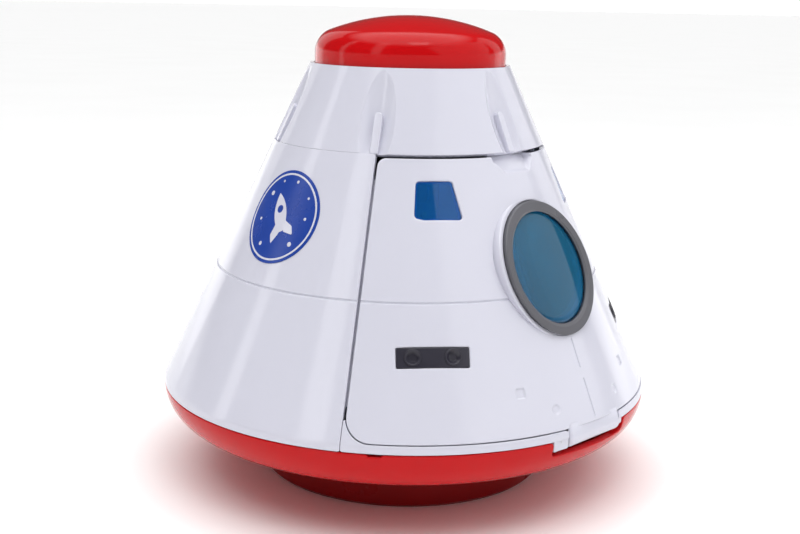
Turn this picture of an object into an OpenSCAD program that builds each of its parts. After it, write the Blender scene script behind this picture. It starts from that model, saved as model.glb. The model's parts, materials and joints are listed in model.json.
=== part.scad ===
/* [Capsule] */
// Height of the widest ring above the table
rim_z = 35.4; // [35:0.1:36]
// Height of the white cone, from the widest ring to its top edge
cone_h = 122.7; // [122:0.1:124]
// Diameter of the cone's top edge
top_d = 76.6; // [76:0.1:78]
// Angle between the cone's side and its axis
cone_angle = 25.1; // [24.8:0.1:25.4]
// Rounding where the cone meets the widest ring
edge_round = 7.5; // [6:0.5:9]
// Wall of the lower shell and the door
wall = 2.2; // [2:0.1:2.4]
// Wall of the upper cone, thicker so that the scoops don't break through
upper_wall = 3.4; // [3.3:0.1:3.6]
// Height of the joint between the lower shell and the upper cone
joint_h = 93.8; // [93.4:0.1:94.2]
// Height of the engraved line round the shell and the door
panel_line_h = 46.3; // [44:0.5:48]

/* [Door] */
// Half of the angle that the door spans round the cone
door_half = 59; // [58:0.5:60]
// Height of the door's top edge
door_top = 92.6; // [92.4:0.1:92.8]
// Height of the door's bottom edge
door_bottom = 3.3; // [3.2:0.1:3.4]
// Gap between the door's side and the shell
door_gap = 1.0; // [0.8:0.1:1.2]
// Rounding of the door's upper corners
door_top_round = 3; // [2:0.5:4]
// Rounding of the door's lower corners
door_low_round = 9; // [7:0.5:10]

/* [Hinge] */
// Distance of the hinge axis in front of the capsule's axis
hinge_y = 91.6; // [91.5:0.05:91.7]
// Depth of the hinge axis below the widest ring
hinge_drop = 0.6; // [0.5:0.1:0.7]
// Radius of the door's barrel
barrel_r = 3.2; // [3.1:0.05:3.3]
// Half length of the door's barrel
barrel_half = 14.6; // [14:0.1:15]
// Width of the ear at the barrel's left end
left_ear_w = 6.4; // [6:0.1:6.6]
// Width of the ear at the barrel's right end
right_ear_w = 2.4; // [2:0.1:2.6]
// Diameter of the hinge pin
pin_d = 2.6; // [2.4:0.1:2.8]

/* [Porthole] */
// Height of the porthole's centre
port_h = 54.5; // [53:0.5:56]
// Outer radius of the porthole's frame
port_frame_r = 22.5; // [22.3:0.1:22.7]
// Radius of the frame's opening
port_open_r = 18.8; // [18.6:0.1:19]
// Radius of the white collar that the frame stands on
port_collar_r = 23.8; // [23.6:0.1:24]

/* [Button] */
// Radius of the dome's side
dome_r = 36.5; // [36.3:0.1:36.6]
// Radius of the stem under the dome
stem_r = 5; // [4.8:0.1:5.2]

/* [Foot] */
// Radius of the foot drum
foot_r = 56.5; // [56:0.1:57]
// Radius of the heat shield's rounded shoulder
shoulder_r = 15.5; // [15.3:0.1:15.7]
// Radius of the heat shield's shallow dish
dish_r = 248; // [247:1:249]

/* [Hidden] */

$fn = 96;

white = "white";
red = "red";
steel = "silver";
slate = [0.16, 0.18, 0.21];
pale_grey = [0.78, 0.79, 0.82];
seat_grey = [0.33, 0.37, 0.45];
window_blue = [0.1, 0.45, 0.75, 0.6];
lens_blue = [0.05, 0.45, 0.6, 0.6];

// Small gaps: between fixed parts that touch, and between parts that move past each other
fixed_gap = 0.15;
moving_gap = 0.4;
run_gap = 0.06;

top_r = top_d / 2;

function cone_r(z) = top_r + (cone_h - z) * tan(cone_angle);
function level_wall(t) = t / cos(cone_angle);
function inner_r(z) = cone_r(z) - level_wall(wall);
function upper_inner_r(z) = cone_r(z) - level_wall(upper_wall);
function arc(c, r, a0, a1, n) = [for (i = [0:n]) let (a = a0 + (a1 - a0) * i / n) c + r * [cos(a), sin(a)]];

base_r = cone_r(0) - edge_round * (1 / cos(cone_angle) - 1);

// Heat shield: a shoulder arc, then a shallow dish tangent to it
shoulder_c = [base_r - shoulder_r, 0];
dish_join = asin(shoulder_c[0] / (dish_r - shoulder_r));
dish_c = [0, (dish_r - shoulder_r) * cos(dish_join)];
shield_wall = 2.4;
shield_hole_r = 50;
shield_top = -0.25;
function dish_z(r) = dish_c[1] - sqrt(dish_r * dish_r - r * r);

foot_floor = 3.4;
foot_recess = 1;
foot_ring_in = 50;
foot_wall = 2.2;
post_r = 4;
post_ring = 46;
post_angles = [45, 135, 225, 315];
post_top = 14;
deck_h = 3.8;
deck_t = 2.2;
deck_r = 88.8;
sill_h = 2.6;
seam_gap = 0.2;
notch_depth = 5.6;
ear_r = barrel_r + 0.1;
ear_start = barrel_half + 0.5;
ear_setback = 0.35;
ear_left = -ear_start - left_ear_w;
ear_right = ear_start + right_ear_w;
pin_left = -ear_start - 3.2;
notch_left = ear_left - 0.2;
notch_right = ear_right + 1.2;
leaf_back = 1.6;
leaf_t = 2;

base_screw_r = 1.45;
deck_screw_r = 1.2;
pilot_gap = 0.03;
boss_ring = 80;
boss_angles = [85, 140, 220, 275];
tab_angles = [90, 180, 270];
tab_h = 89.4;
tab_t = 2;
tab_ring = 45;

bulkhead_y = 18;
bulkhead_t = 2;
ceiling_h = 84;
ceiling_t = 1.8;
ceiling_r = 50.5;
wire_y = 32;

battery_pos = [0, 24];
cell_d = 11.6;
cell_l = 5.4;
cell_pitch = 5.5;
cell_z = 10.2;
battery_box = [30, 16, 12];
battery_lid = [46, 26, 1.8];
lid_screw_x = 18.5;
speaker_pos = [0, -24];
speaker_r = 14.2;
board_size = [52, 34, 1.6];
board_pos = [0, 22];
board_z = 22;
board_posts = [[-22, 22], [22, 22]];

window_az = 36.5;
window_h = 79.05;
window_depth = 0.7;
window_t = 1.3;
thruster_az = 39.55;
thruster_h = 29.7;
thruster_size = [24.8, 6.85];
nozzle_x = 6.85;
pocket_depth = 1.4;

scoop_count = 6;
scoop_h = 103.8;
scoop_max_r = 9.9;
scoop_offset = 7.3;
scoop_curve = 76.7;
fin_w = 3;
fin_top = 106.4;

emblem_az = -92;
emblem_h = 69.8;
emblem_r = 17.6;

rim_in_r = dome_r + moving_gap;
rim_under = 115.4;
dome_wall = 2;
dome_shoulder = 9;
crown_r = 85;
flange_r = 37.5;
guide_h = 102;
guide_t = 2;
guide_r = 41.8;
guide_tube_r = 7.4;
guide_tube_top = 112;
guide_screw_ring = 38.5;
guide_angles = [30, 150, 270];
spring_seat_h = 120;
spring_r = 9.6;
spring_wire = 0.9;
stem_low = 99.5;
stop_ring_r = 7.6;
stop_screw_r = 1;
switch_board_h = 90.9;
switch_post_x = 11;

module at_rim() {
    translate([0, 0, rim_z]) children();
}

// Puts children on the cone's surface: x to the right, y up the slope, z out of the surface
module on_cone(az, z) {
    rotate([0, 0, az]) translate([0, -cone_r(z), rim_z + z]) rotate([90 - cone_angle, 0, 0]) children();
}

module door_sector(trim = 0) {
    rotate([0, 0, -90 - door_half + trim]) rotate_extrude(angle = 2 * (door_half - trim)) children();
}

module rear_sector() {
    rotate([0, 0, -90 + door_half]) rotate_extrude(angle = 360 - 2 * door_half) children();
}

module at_polar(r, angles, z = 0) {
    for (a = angles) rotate([0, 0, a]) translate([0, -r, z]) children();
}

// Section of the lower shell, from the widest ring up to z_top
module shell_section(z_top) {
    polygon(concat(
        arc([base_r - edge_round, 0], edge_round, 0, cone_angle, 5),
        [[cone_r(z_top), z_top], [inner_r(z_top), z_top], [inner_r(0), 0]]
    ));
}

// Section of a layer that follows the cone between two depths below its surface
module layer_section(z0, z1, deep, shallow) {
    polygon([
        [cone_r(z0) - level_wall(deep), z0], [cone_r(z0) - level_wall(shallow), z0],
        [cone_r(z1) - level_wall(shallow), z1], [cone_r(z1) - level_wall(deep), z1]
    ]);
}

module panel_line(z, w = 0.8, d = 0.45) {
    rotate_extrude() polygon([
        [cone_r(z) - d, z - w / 4], [cone_r(z) + 1, z - w / 2 - 0.2],
        [cone_r(z) + 1, z + w / 2], [cone_r(z) - d, z + w / 4]
    ]);
}

module self_tapper(head_r, head_t, shank_r, shank_l) {
    difference() {
        cylinder(r = head_r, h = head_t);
        for (a = [0, 90]) rotate([0, 0, a]) translate([-head_r * 0.6, -0.3, -1]) cube([head_r * 1.2, 0.6, 1.8]);
    }
    translate([0, 0, head_t]) cylinder(r = shank_r, h = shank_l - 1);
    translate([0, 0, head_t + shank_l - 1]) cylinder(r1 = shank_r, r2 = 0.3, h = 1);
}

module rod(p, q, r) {
    d = q - p;
    translate(p) rotate([0, acos(d[2] / norm(d)), atan2(d[1], d[0])]) cylinder(r = r, h = norm(d), $fn = 24);
}

// A wire held along straight stretches, with round corners
module wire(points, r) {
    for (i = [0:len(points) - 2]) rod(points[i], points[i + 1], r);
    for (i = [1:len(points) - 2]) translate(points[i]) sphere(r = r, $fn = 24);
}

module heat_shield() {
    join = dish_join - 90;
    color(red) at_rim() difference() {
        rotate_extrude() polygon(concat(
            [[shoulder_c[0] + sqrt(pow(shoulder_r, 2) - pow(shield_top, 2)), shield_top]],
            arc(shoulder_c, shoulder_r, -4, join, 14),
            [for (r = [80:-6:shield_hole_r]) [r, dish_z(r)]],
            [[shield_hole_r, dish_z(shield_hole_r)], [shield_hole_r, dish_z(shield_hole_r) + shield_wall]],
            [for (r = [56:6:80]) [r, dish_z(r) + shield_wall]],
            arc(shoulder_c, shoulder_r - shield_wall, join, -4, 14),
            [[shoulder_c[0] + shoulder_r - shield_wall, shield_top]]
        ));
        translate([notch_left, -base_r - 1, -notch_depth]) cube([notch_right - notch_left, 16, notch_depth + 1]);
        rotate([0, 0, -51.9]) translate([-2.3, -base_r - 1, -1.6]) cube([4.6, 3, 3]);
    }
}

module foot_drum() {
    color([0.75, 0, 0]) difference() {
        union() {
            rotate_extrude() polygon([
                [0, foot_recess], [foot_ring_in, foot_recess], [foot_ring_in + 0.6, 0], [foot_r - 1.7, 0],
                [foot_r - 0.5, 1.2], [foot_r, rim_z + dish_z(foot_r) - fixed_gap],
                [foot_r - foot_wall, rim_z + dish_z(foot_r - foot_wall) - fixed_gap],
                [foot_r - foot_wall, foot_floor], [0, foot_floor]
            ]);
            at_polar(post_ring, post_angles, 2) cylinder(r = post_r, h = post_top - 2);
            translate([battery_pos[0], battery_pos[1], 0]) difference() {
                translate([-battery_lid[0] / 2 - 1, -battery_lid[1] / 2 - 1, 2])
                    cube([battery_lid[0] + 2, battery_lid[1] + 2, battery_box[2] + 3]);
                translate([0, 0, 12.6]) translate([-20.6, -11, 0]) cube([41.2, 22, 5]);
            }
            translate([speaker_pos[0], speaker_pos[1], 2]) cylinder(r = speaker_r + 2.2, h = 7);
            for (s = [-1, 1]) translate([s * 21, speaker_pos[1], 2]) cylinder(r = 3.4, h = 7);
            for (p = board_posts) translate([p[0], p[1], 14]) cylinder(r = 3, h = board_z - 14 - fixed_gap);
        }
        translate([battery_pos[0], battery_pos[1], 0]) {
            translate([-battery_lid[0] / 2, -battery_lid[1] / 2, -1])
                cube([battery_lid[0], battery_lid[1], battery_lid[2] + foot_recess + 1.2]);
            translate([-battery_box[0] / 2, -battery_box[1] / 2, 0]) cube([battery_box[0], battery_box[1], 20]);
            translate([lid_screw_x, 0, 0]) cylinder(r = 1.1, h = 10);
        }
        translate([speaker_pos[0], speaker_pos[1], foot_floor]) cylinder(r = speaker_r + 0.2, h = 8);
        translate([speaker_pos[0], speaker_pos[1], 0]) speaker_grille();
        for (s = [-1, 1]) translate([s * 21, speaker_pos[1], 4]) cylinder(r = 1, h = 8);
        at_polar(post_ring, post_angles, -1) {
            cylinder(r = 3.3, h = 5);
            cylinder(r = 1.7, h = 20);
        }
        for (p = board_posts) translate([p[0], p[1], 15.5]) cylinder(r = 0.9, h = 9);
    }
}

module speaker_grille() {
    cylinder(r = 1.1, h = 5);
    for (ring = [1:2], i = [0:6 * ring - 1])
        rotate([0, 0, i * 60 / ring]) translate([ring * 4.6, 0, 0]) cylinder(r = 1.1, h = 5);
}

module battery_door() {
    inset = 0.2;
    color([0.7, 0, 0]) translate([battery_pos[0], battery_pos[1], foot_recess]) difference() {
        translate([-battery_lid[0] / 2 + inset, -battery_lid[1] / 2 + inset, 0])
            cube([battery_lid[0] - 2 * inset, battery_lid[1] - 2 * inset, battery_lid[2]]);
        translate([lid_screw_x, 0, -1]) cylinder(r = 1.4, h = 5);
        translate([lid_screw_x, 0, -1]) cylinder(r = 2.5, h = 1.8);
        for (i = [-3:3]) translate([-14 + i * 1.6, -6, -1]) cube([0.8, 12, 1.4]);
    }
}

module battery_door_screw() {
    color(steel) translate([battery_pos[0] + lid_screw_x, battery_pos[1], foot_recess + 0.1])
        self_tapper(2.3, 0.7, 1, 6.5);
}

module battery_cells() {
    color(steel) for (i = [-1:1]) translate([battery_pos[0] + i * cell_pitch, battery_pos[1], cell_z])
        rotate([0, 90, 0]) {
            translate([0, 0, -cell_l / 2]) cylinder(r = cell_d / 2, h = cell_l - 0.8);
            translate([0, 0, cell_l / 2 - 0.8]) cylinder(r = cell_d / 2 - 1.2, h = 0.8);
        }
}

module battery_contacts() {
    reach = 1.5 * cell_pitch + fixed_gap;
    color("gold") translate([battery_pos[0], battery_pos[1], 0]) {
        translate([reach, -4.5, 5]) cube([0.4, 9, 14.4]);
        translate([reach + 0.4, -1, 17]) cube([5, 2, 0.4]);
        for (i = [0:2]) translate([-reach - 1.2 * i - 1.2, 0, cell_z]) rotate([0, 90, 0]) difference() {
            cylinder(r = 4.4 - i, h = 1.2);
            translate([0, 0, -1]) cylinder(r = 3.5 - i, h = 4);
        }
        translate([-reach - 4.4, -4.5, 5]) cube([0.4, 9, 14.4]);
        translate([-reach - 4.1, 0, cell_z]) rotate([0, 90, 0]) cylinder(r = 3.2, h = 0.5);
    }
}

module speaker() {
    color([0.15, 0.15, 0.16]) translate([speaker_pos[0], speaker_pos[1], foot_floor + 0.1]) difference() {
        union() {
            cylinder(r = speaker_r, h = 1.4);
            cylinder(r1 = speaker_r - 1, r2 = 8, h = 3.4);
            cylinder(r = 7.5, h = 5.2);
        }
        translate([0, 0, -1]) cylinder(r1 = speaker_r - 2, r2 = 5, h = 2.4);
    }
}

module speaker_clamp() {
    color("black") translate([speaker_pos[0], speaker_pos[1], 9 + fixed_gap]) difference() {
        translate([-25, -4, 0]) cube([50, 8, 1.6]);
        for (s = [-1, 1]) translate([s * 21, 0, -1]) cylinder(r = 1.3, h = 4);
    }
}

module speaker_screws() {
    color(steel) for (s = [-1, 1])
        translate([s * 21, speaker_pos[1], 9 + 1.6 + 2 * fixed_gap + 1.4]) rotate([180, 0, 0])
            self_tapper(2.2, 1.4, 0.9, 5.5);
}

module main_board() {
    color("darkgreen") translate([board_pos[0], board_pos[1], board_z]) difference() {
        translate([-board_size[0] / 2, -board_size[1] / 2, 0]) cube(board_size);
        for (p = board_posts) translate([p[0] - board_pos[0], p[1] - board_pos[1], -1]) cylinder(r = 1.1, h = 4);
    }
}

module board_parts() {
    top = board_z + board_size[2] + 0.05;
    color("black") translate([board_pos[0], board_pos[1], top]) {
        cylinder(r1 = 7, r2 = 4.5, h = 1.8);
        for (i = [0:4]) translate([-18 + 4 * i, -12, 0]) cube([1.6, 3.2, 1]);
        for (s = [-1, 1]) translate([s * 11, 9, 0]) cylinder(r = 2.5, h = 6);
        translate([8, -13, 0]) cube([10, 5, 4]);
    }
}

module board_screws() {
    color(steel) for (p = board_posts) translate([p[0], p[1], board_z + board_size[2] + 0.05 + 1.2])
        rotate([180, 0, 0]) self_tapper(2, 1.2, 0.8, 5.5);
}

module base_screws() {
    color(steel) at_polar(post_ring, post_angles, 2.1) self_tapper(3, 1.8, base_screw_r, 20);
}

module deck_corner_fill(s) {
    low = door_bottom / cos(cone_angle);
    r = door_low_round;
    on_cone(s * door_half, door_bottom) mirror([s > 0 ? 1 : 0, 0, 0]) linear_extrude(height = 12, center = true)
        difference() {
            translate([-1, -low]) square([r + door_gap + 1, r + low]);
            translate([r + door_gap, r]) circle(r = r + 0.8);
            translate([r + door_gap, -0.7]) square(40);
        }
}

module hinge_axis(x0, x1, r) {
    translate([x0, -hinge_y, -hinge_drop]) rotate([0, 90, 0]) cylinder(r = r, h = x1 - x0);
}

// One ear of the hinge, from x0 to x1, with the web that joins it to the deck
module ear(x0, x1, r) {
    hinge_axis(x0, x1, r);
    translate([x0, -hinge_y, -hinge_drop - r + 0.3]) cube([x1 - x0, 6, r + hinge_drop + sill_h - 0.3]);
}

module cabin_deck() {
    seam = seam_gap / base_r * 180 / PI;
    color(white) difference() {
        union() {
            at_rim() {
                door_sector(seam) polygon([
                    [deck_r - 2, 0], [inner_r(0) + 0.8, 0], [inner_r(sill_h) + 0.8, sill_h], [deck_r - 2, sill_h]
                ]);
                rotate_extrude() polygon([
                    [0, deck_h], [deck_r - 2.2, deck_h], [deck_r - 2.2, -3], [deck_r, -3],
                    [deck_r, deck_h + deck_t - 0.6], [deck_r - 0.6, deck_h + deck_t], [0, deck_h + deck_t]
                ]);
                intersection() {
                    union() {
                        ear(ear_left, -ear_start, ear_r);
                        ear(ear_start, ear_right, ear_r - 1.2);
                    }
                    cylinder(r = base_r - ear_setback, h = 20, center = true);
                }
                intersection() {
                    door_sector(seam) shell_section(18);
                    union() {
                        translate([0, 0, sill_h - 10]) cylinder(r = 2 * base_r, h = 10);
                        translate([0, 0, -rim_z]) for (s = [-1, 1]) deck_corner_fill(s);
                    }
                }
            }
            at_polar(post_ring, post_angles, post_top + fixed_gap)
                cylinder(r = post_r, h = rim_z + deck_h - post_top);
        }
        at_rim() {
            translate([-ear_start, -base_r - 1, -8]) cube([2 * ear_start, base_r + 1 - hinge_y + 4, 20]);
            hinge_axis(pin_left - 0.1, ear_right - 0.4, pin_d / 2 + 0.02);
            translate([0, wire_y, -5]) cylinder(r = 4, h = 20);
            at_polar(boss_ring, boss_angles, -5) cylinder(r = 1.7, h = 20);
            for (x = [-3:3]) translate([x * 12 - 0.4, -76, deck_h + deck_t - 0.4]) cube([0.8, 44, 2]);
        }
        at_polar(post_ring, post_angles, post_top - 1) cylinder(r = base_screw_r + pilot_gap, h = 14);
    }
}

module deck_screws() {
    color(steel) at_rim() at_polar(boss_ring, boss_angles, deck_h - 1.8 - 0.05) self_tapper(3, 1.8, deck_screw_r, 12);
}

module hinge_pin() {
    color(steel) at_rim() hinge_axis(pin_left, ear_right - 0.5, pin_d / 2);
}

module rear_shell() {
    top = joint_h - fixed_gap;
    lip_t = level_wall(1.3);
    color(white) difference() {
        union() {
            at_rim() {
                rear_sector() shell_section(top);
                rear_sector() polygon([
                    [inner_r(88) + 0.6, 88], [inner_r(top) + 0.6, top], [upper_inner_r(top) - fixed_gap, top],
                    [upper_inner_r(98) - fixed_gap, 98], [upper_inner_r(98) - lip_t, 98], [inner_r(88) - lip_t, 86.5]
                ]);
                for (s = [-1, 1]) rotate([0, 0, -90 + s * door_half - 2]) rotate_extrude(angle = 4)
                    layer_section(14, 86, wall + 2, wall + 0.4);
                for (s = [-1, 1]) rotate([0, 0, -90 + s * (door_half + 1.5) - 1]) rotate_extrude(angle = 2)
                    layer_section(14, 86, wall + 1.5, wall - 0.5);
                intersection() {
                    union() {
                        at_polar(boss_ring, boss_angles, deck_h + deck_t + fixed_gap) {
                            cylinder(r = 3.6, h = 14);
                            translate([-1.2, -12, 0]) cube([2.4, 10, 13]);
                        }
                        at_polar(tab_ring, tab_angles, tab_h) translate([-6, -12, 0]) cube([12, 17, tab_t]);
                    }
                    rotate_extrude() polygon([
                        [0, 0], [inner_r(0) + 1, 0], [inner_r(cone_h) + 1, cone_h], [0, cone_h]
                    ]);
                }
            }
        }
        at_rim() {
            panel_line(panel_line_h);
            at_polar(boss_ring, boss_angles, 0) cylinder(r = deck_screw_r + pilot_gap, h = 19);
            at_polar(tab_ring, tab_angles, tab_h - 1) cylinder(r = 1.5, h = 5);
            at_polar(tab_ring, tab_angles, tab_h + tab_t) cylinder(r = 3.6, h = 12);
        }
    }
}

module bulkhead() {
    low = deck_h + deck_t + fixed_gap;
    high = ceiling_h - fixed_gap;
    function half(z) = sqrt(pow(inner_r(z), 2) - pow(bulkhead_y + bulkhead_t, 2)) - 3.4;
    color(pale_grey) at_rim() difference() {
        translate([0, bulkhead_y + bulkhead_t, 0]) rotate([90, 0, 0]) linear_extrude(height = bulkhead_t)
            polygon([[-half(low), low], [half(low), low], [half(high), high], [-half(high), high]]);
        for (s = [-1, 1], i = [0:4])
            translate([s * 52 - 7, bulkhead_y - 0.5, 16 + 5 * i]) cube([14, 1.1, 2]);
    }
}

module instrument_panel() {
    color(seat_grey) at_rim() translate([0, bulkhead_y - 0.1, 66]) difference() {
        rotate([90, 0, 0]) linear_extrude(height = 4) polygon([
            [-34, -9], [-31, -12], [31, -12], [34, -9], [34, 6], [28, 12], [-28, 12], [-34, 6]
        ]);
        for (x = [-20, 0, 20]) translate([x - 7.5, -5, -2]) cube([15, 2, 10]);
    }
}

module panel_buttons() {
    color("orange") at_rim() for (x = [-24:6:24]) translate([x, bulkhead_y - 4.15, 59]) rotate([90, 0, 0])
        cylinder(r = 1.6, h = 1.2);
}

module seat(x) {
    side = 26;
    cushion = 3;
    color(seat_grey) at_rim() translate([x, bulkhead_y - 0.4, deck_h + deck_t + fixed_gap]) {
        translate([-side / 2, 0, 0]) rotate([90, 0, 90]) linear_extrude(height = side) polygon([
            [-32, 0], [-1, 0], [-0.4, 46], [-5, 46], [-9, 14], [-31, 16], [-33, 13]
        ]);
        for (s = [-1, 1]) translate([s * (side / 2 + cushion / 2 + 0.02) - cushion / 2, 0, 0]) rotate([90, 0, 90])
            linear_extrude(height = cushion) polygon([
                [-31, 0], [-1, 0], [-0.4, 44], [-7, 44], [-14, 20], [-30, 20], [-32, 16]
            ]);
    }
}

module left_seat() {
    seat(-20);
}

module right_seat() {
    seat(20);
}

module cabin_ceiling() {
    color(white) at_rim() difference() {
        translate([0, 0, ceiling_h]) cylinder(r = ceiling_r, h = ceiling_t);
        translate([0, -20, ceiling_h - 1]) cylinder(r = 2.7, h = 5);
        translate([-5, wire_y - 4, ceiling_h - 1]) cube([10, 30, 5]);
        translate([-15, -ceiling_r - 1, ceiling_h - 1]) cube([30, 3.5, 5]);
        for (i = [1:2]) translate([0, 0, ceiling_h - 1]) difference() {
            cylinder(r = 16 * i + 0.5, h = 1.4);
            translate([0, 0, -1]) cylinder(r = 16 * i - 0.5, h = 4);
        }
    }
}

module ceiling_led() {
    color("ivory") at_rim() translate([0, -20, ceiling_h]) {
        translate([0, 0, -2.5]) cylinder(r = 2.5, h = 7);
        translate([0, 0, -2.5]) sphere(r = 2.5);
        translate([0, 0, ceiling_t + 0.05]) cylinder(r = 3.1, h = 1);
    }
}

// Spindle whose side is one arc, so that it scoops a pointed dish out of the cone
module scoop_tool() {
    reach = sqrt(pow(scoop_curve, 2) - pow(scoop_curve - scoop_max_r, 2));
    rotate([90, 0, 0]) rotate_extrude() polygon(concat(
        [[0, -reach], [0, reach]],
        [for (i = [11:-1:-11]) let (y = reach * i / 12)
            [sqrt(pow(scoop_curve, 2) - y * y) - scoop_curve + scoop_max_r, y]]
    ));
}

module fin() {
    slant = (fin_top - joint_h) / cos(cone_angle);
    intersection() {
        on_cone(0, fin_top) translate([0, 0, -2]) union() {
            translate([-fin_w / 2, -slant - 1, -2]) cube([fin_w, slant + 1, 6]);
            translate([0, 0, -2]) cylinder(r = fin_w / 2, h = 6);
        }
        at_rim() rotate_extrude() layer_section(joint_h, fin_top + 4, upper_wall, 0.1);
    }
}

module upper_cone() {
    color(white) {
        difference() {
            union() {
                at_rim() rotate_extrude() polygon([
                    [cone_r(joint_h), joint_h], [cone_r(cone_h - 0.5), cone_h - 0.5], [top_r - 0.7, cone_h],
                    [rim_in_r + 0.3, cone_h], [rim_in_r, cone_h - 0.3], [rim_in_r, rim_under],
                    [upper_inner_r(rim_under), rim_under], [upper_inner_r(joint_h), joint_h]
                ]);
                at_rim() intersection() {
                    union() {
                        at_polar(guide_screw_ring, guide_angles, guide_h + guide_t + fixed_gap)
                            cylinder(r = 3, h = 5);
                        at_polar(tab_ring, tab_angles, tab_h + tab_t + fixed_gap) cylinder(r = 3.2, h = 9);
                    }
                    rotate_extrude() polygon([
                        [0, joint_h - 4], [cone_r(joint_h - 4) - 3, joint_h - 4], [cone_r(cone_h) - 3, cone_h],
                        [0, cone_h]
                    ]);
                }
            }
            for (i = [0:scoop_count - 1]) on_cone(i * 360 / scoop_count, scoop_h)
                translate([0, 0, scoop_offset]) scoop_tool();
            at_rim() {
                at_polar(guide_screw_ring, guide_angles, guide_h) cylinder(r = 1, h = 6.5);
                at_polar(tab_ring, tab_angles, tab_h) cylinder(r = 1, h = 9);
            }
        }
        for (i = [0:scoop_count - 1]) rotate([0, 0, i * 360 / scoop_count]) fin();
    }
}

module cone_screws() {
    color(steel) at_rim() at_polar(tab_ring, tab_angles, tab_h - 1.5 - 0.05) self_tapper(2.8, 1.5, 0.95, 9);
}

module button_guide() {
    color(pale_grey) at_rim() difference() {
        union() {
            translate([0, 0, guide_h]) cylinder(r = guide_r, h = guide_t);
            translate([0, 0, guide_h]) cylinder(r = guide_tube_r, h = guide_tube_top - guide_h);
            for (s = [-1, 1]) translate([s * switch_post_x, 0, switch_board_h + 1.6 + fixed_gap])
                cylinder(r = 2.2, h = guide_h - switch_board_h - 1.6);
        }
        translate([0, 0, guide_h - 1]) cylinder(r = stem_r + run_gap, h = 20);
        at_polar(guide_screw_ring, guide_angles, guide_h - 1) cylinder(r = 1.4, h = 6);
        for (s = [-1, 1]) translate([s * switch_post_x, 0, 85]) cylinder(r = 0.9, h = 14);
        at_polar(tab_ring, tab_angles, 90) cylinder(r = 4, h = 20);
    }
}

module guide_screws() {
    color(steel) at_rim() at_polar(guide_screw_ring, guide_angles, guide_h - 1.4 - 0.05)
        self_tapper(2.6, 1.4, 0.95, 6.5);
}

// Compression spring round the guide tube, one swept helix with flat seats
module button_spring() {
    low = guide_h + guide_t + spring_wire + 0.1;
    high = spring_seat_h - spring_wire - 0.1;
    turns = 5;
    steps = 16;
    sides = 6;
    count = turns * steps;
    ring = [for (i = [0:count], j = [0:sides - 1]) let (
        a = 360 * i / steps,
        b = 360 * j / sides,
        r = spring_r + spring_wire * cos(b),
        z = low + (high - low) * i / count + spring_wire * sin(b)
    ) [r * cos(a), r * sin(a), z]];
    walls = [for (i = [0:count - 1], j = [0:sides - 1]) let (k = (j + 1) % sides)
        [i * sides + j, (i + 1) * sides + j, (i + 1) * sides + k, i * sides + k]];
    first = [for (j = [0:sides - 1]) j];
    last = [for (j = [sides - 1:-1:0]) count * sides + j];
    color(steel) at_rim() polyhedron(points = ring, faces = concat([first], walls, [last]));
}

module switch_board() {
    color("darkgreen") at_rim() difference() {
        translate([-15, -8, switch_board_h]) cube([30, 16, 1.6]);
        for (s = [-1, 1]) translate([s * switch_post_x, 0, switch_board_h - 1]) cylinder(r = 1.1, h = 4);
    }
}

module switch() {
    low = switch_board_h + 1.6 + 0.05;
    color("black") at_rim() {
        translate([-3, -3, low]) cube([6, 6, 3.4]);
        translate([0, 0, low + 3.4]) cylinder(r = 1.7, h = 0.6);
    }
}

module switch_screws() {
    color(steel) at_rim() for (s = [-1, 1]) translate([s * switch_post_x, 0, switch_board_h - 1.2 - 0.05])
        self_tapper(2, 1.2, 0.8, 6.5);
}

module button_wires() {
    color("gold") for (x = [-1.2, 1.2]) wire([
        [x, 6, rim_z + switch_board_h - 0.1], [x, 6, rim_z + 88.3], [x, wire_y, rim_z + 88.3],
        [x, wire_y, board_z + board_size[2] + 0.1]
    ], 0.7);
}

module speaker_wires() {
    color("black") for (x = [-1.2, 1.2]) wire([
        [x, speaker_pos[1] + 6, foot_floor + 5.5], [x, speaker_pos[1] + 6, 16], [x, 2, 16], [x, 2, 26],
        [x, 8, 26], [x, 8, board_z + board_size[2] + 0.1]
    ], 0.6);
}

module battery_wires() {
    color("red") for (s = [-1, 1]) wire([
        [s * 14, battery_pos[1] - 8, board_z - 0.1], [s * 14, battery_pos[1] - 8, 18.6],
        [s * 10, battery_pos[1] - 5.6, 18.6]
    ], 0.6);
}

// A thin round label that follows the cone
module emblem_sticker() {
    color("royalblue") intersection() {
        on_cone(emblem_az, emblem_h) cylinder(r = emblem_r, h = 20, center = true);
        at_rim() rotate([0, 0, emblem_az - 90 - 30]) rotate_extrude(angle = 60)
            layer_section(emblem_h - 20, emblem_h + 20, -0.03, -0.25);
    }
}

module corner_tool(r) {
    linear_extrude(height = 16, center = true) difference() {
        translate([-1, -1]) square(r + 1);
        translate([r, r]) circle(r = r);
    }
}

module window_outline(s) {
    mirror([s < 0 ? 1 : 0, 0, 0]) polygon(concat(
        arc([6.4, -4.9], 1.6, -70, 0, 4), arc([5.6, 5.6], 1.4, 0, 90, 4), arc([-4.9, 5.6], 1.4, 90, 186, 4),
        arc([-7.5, -5.6], 1.4, 186, 270, 4), [[4.6, -7]]
    ));
}

module window_pane(s) {
    color(window_blue) intersection() {
        on_cone(s * window_az, window_h) linear_extrude(height = 12, center = true)
            scale(0.985) window_outline(s);
        at_rim() door_sector() layer_section(60, 92, window_depth + window_t, window_depth);
    }
}

module left_window() {
    window_pane(-1);
}

module right_window() {
    window_pane(1);
}

module thruster_blank(s, grow, deep, shallow) {
    intersection() {
        on_cone(s * thruster_az, thruster_h)
            cube([thruster_size[0] + grow, thruster_size[1] + grow, 12], center = true);
        at_rim() door_sector() layer_section(15, 45, deep, shallow);
    }
}

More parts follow.
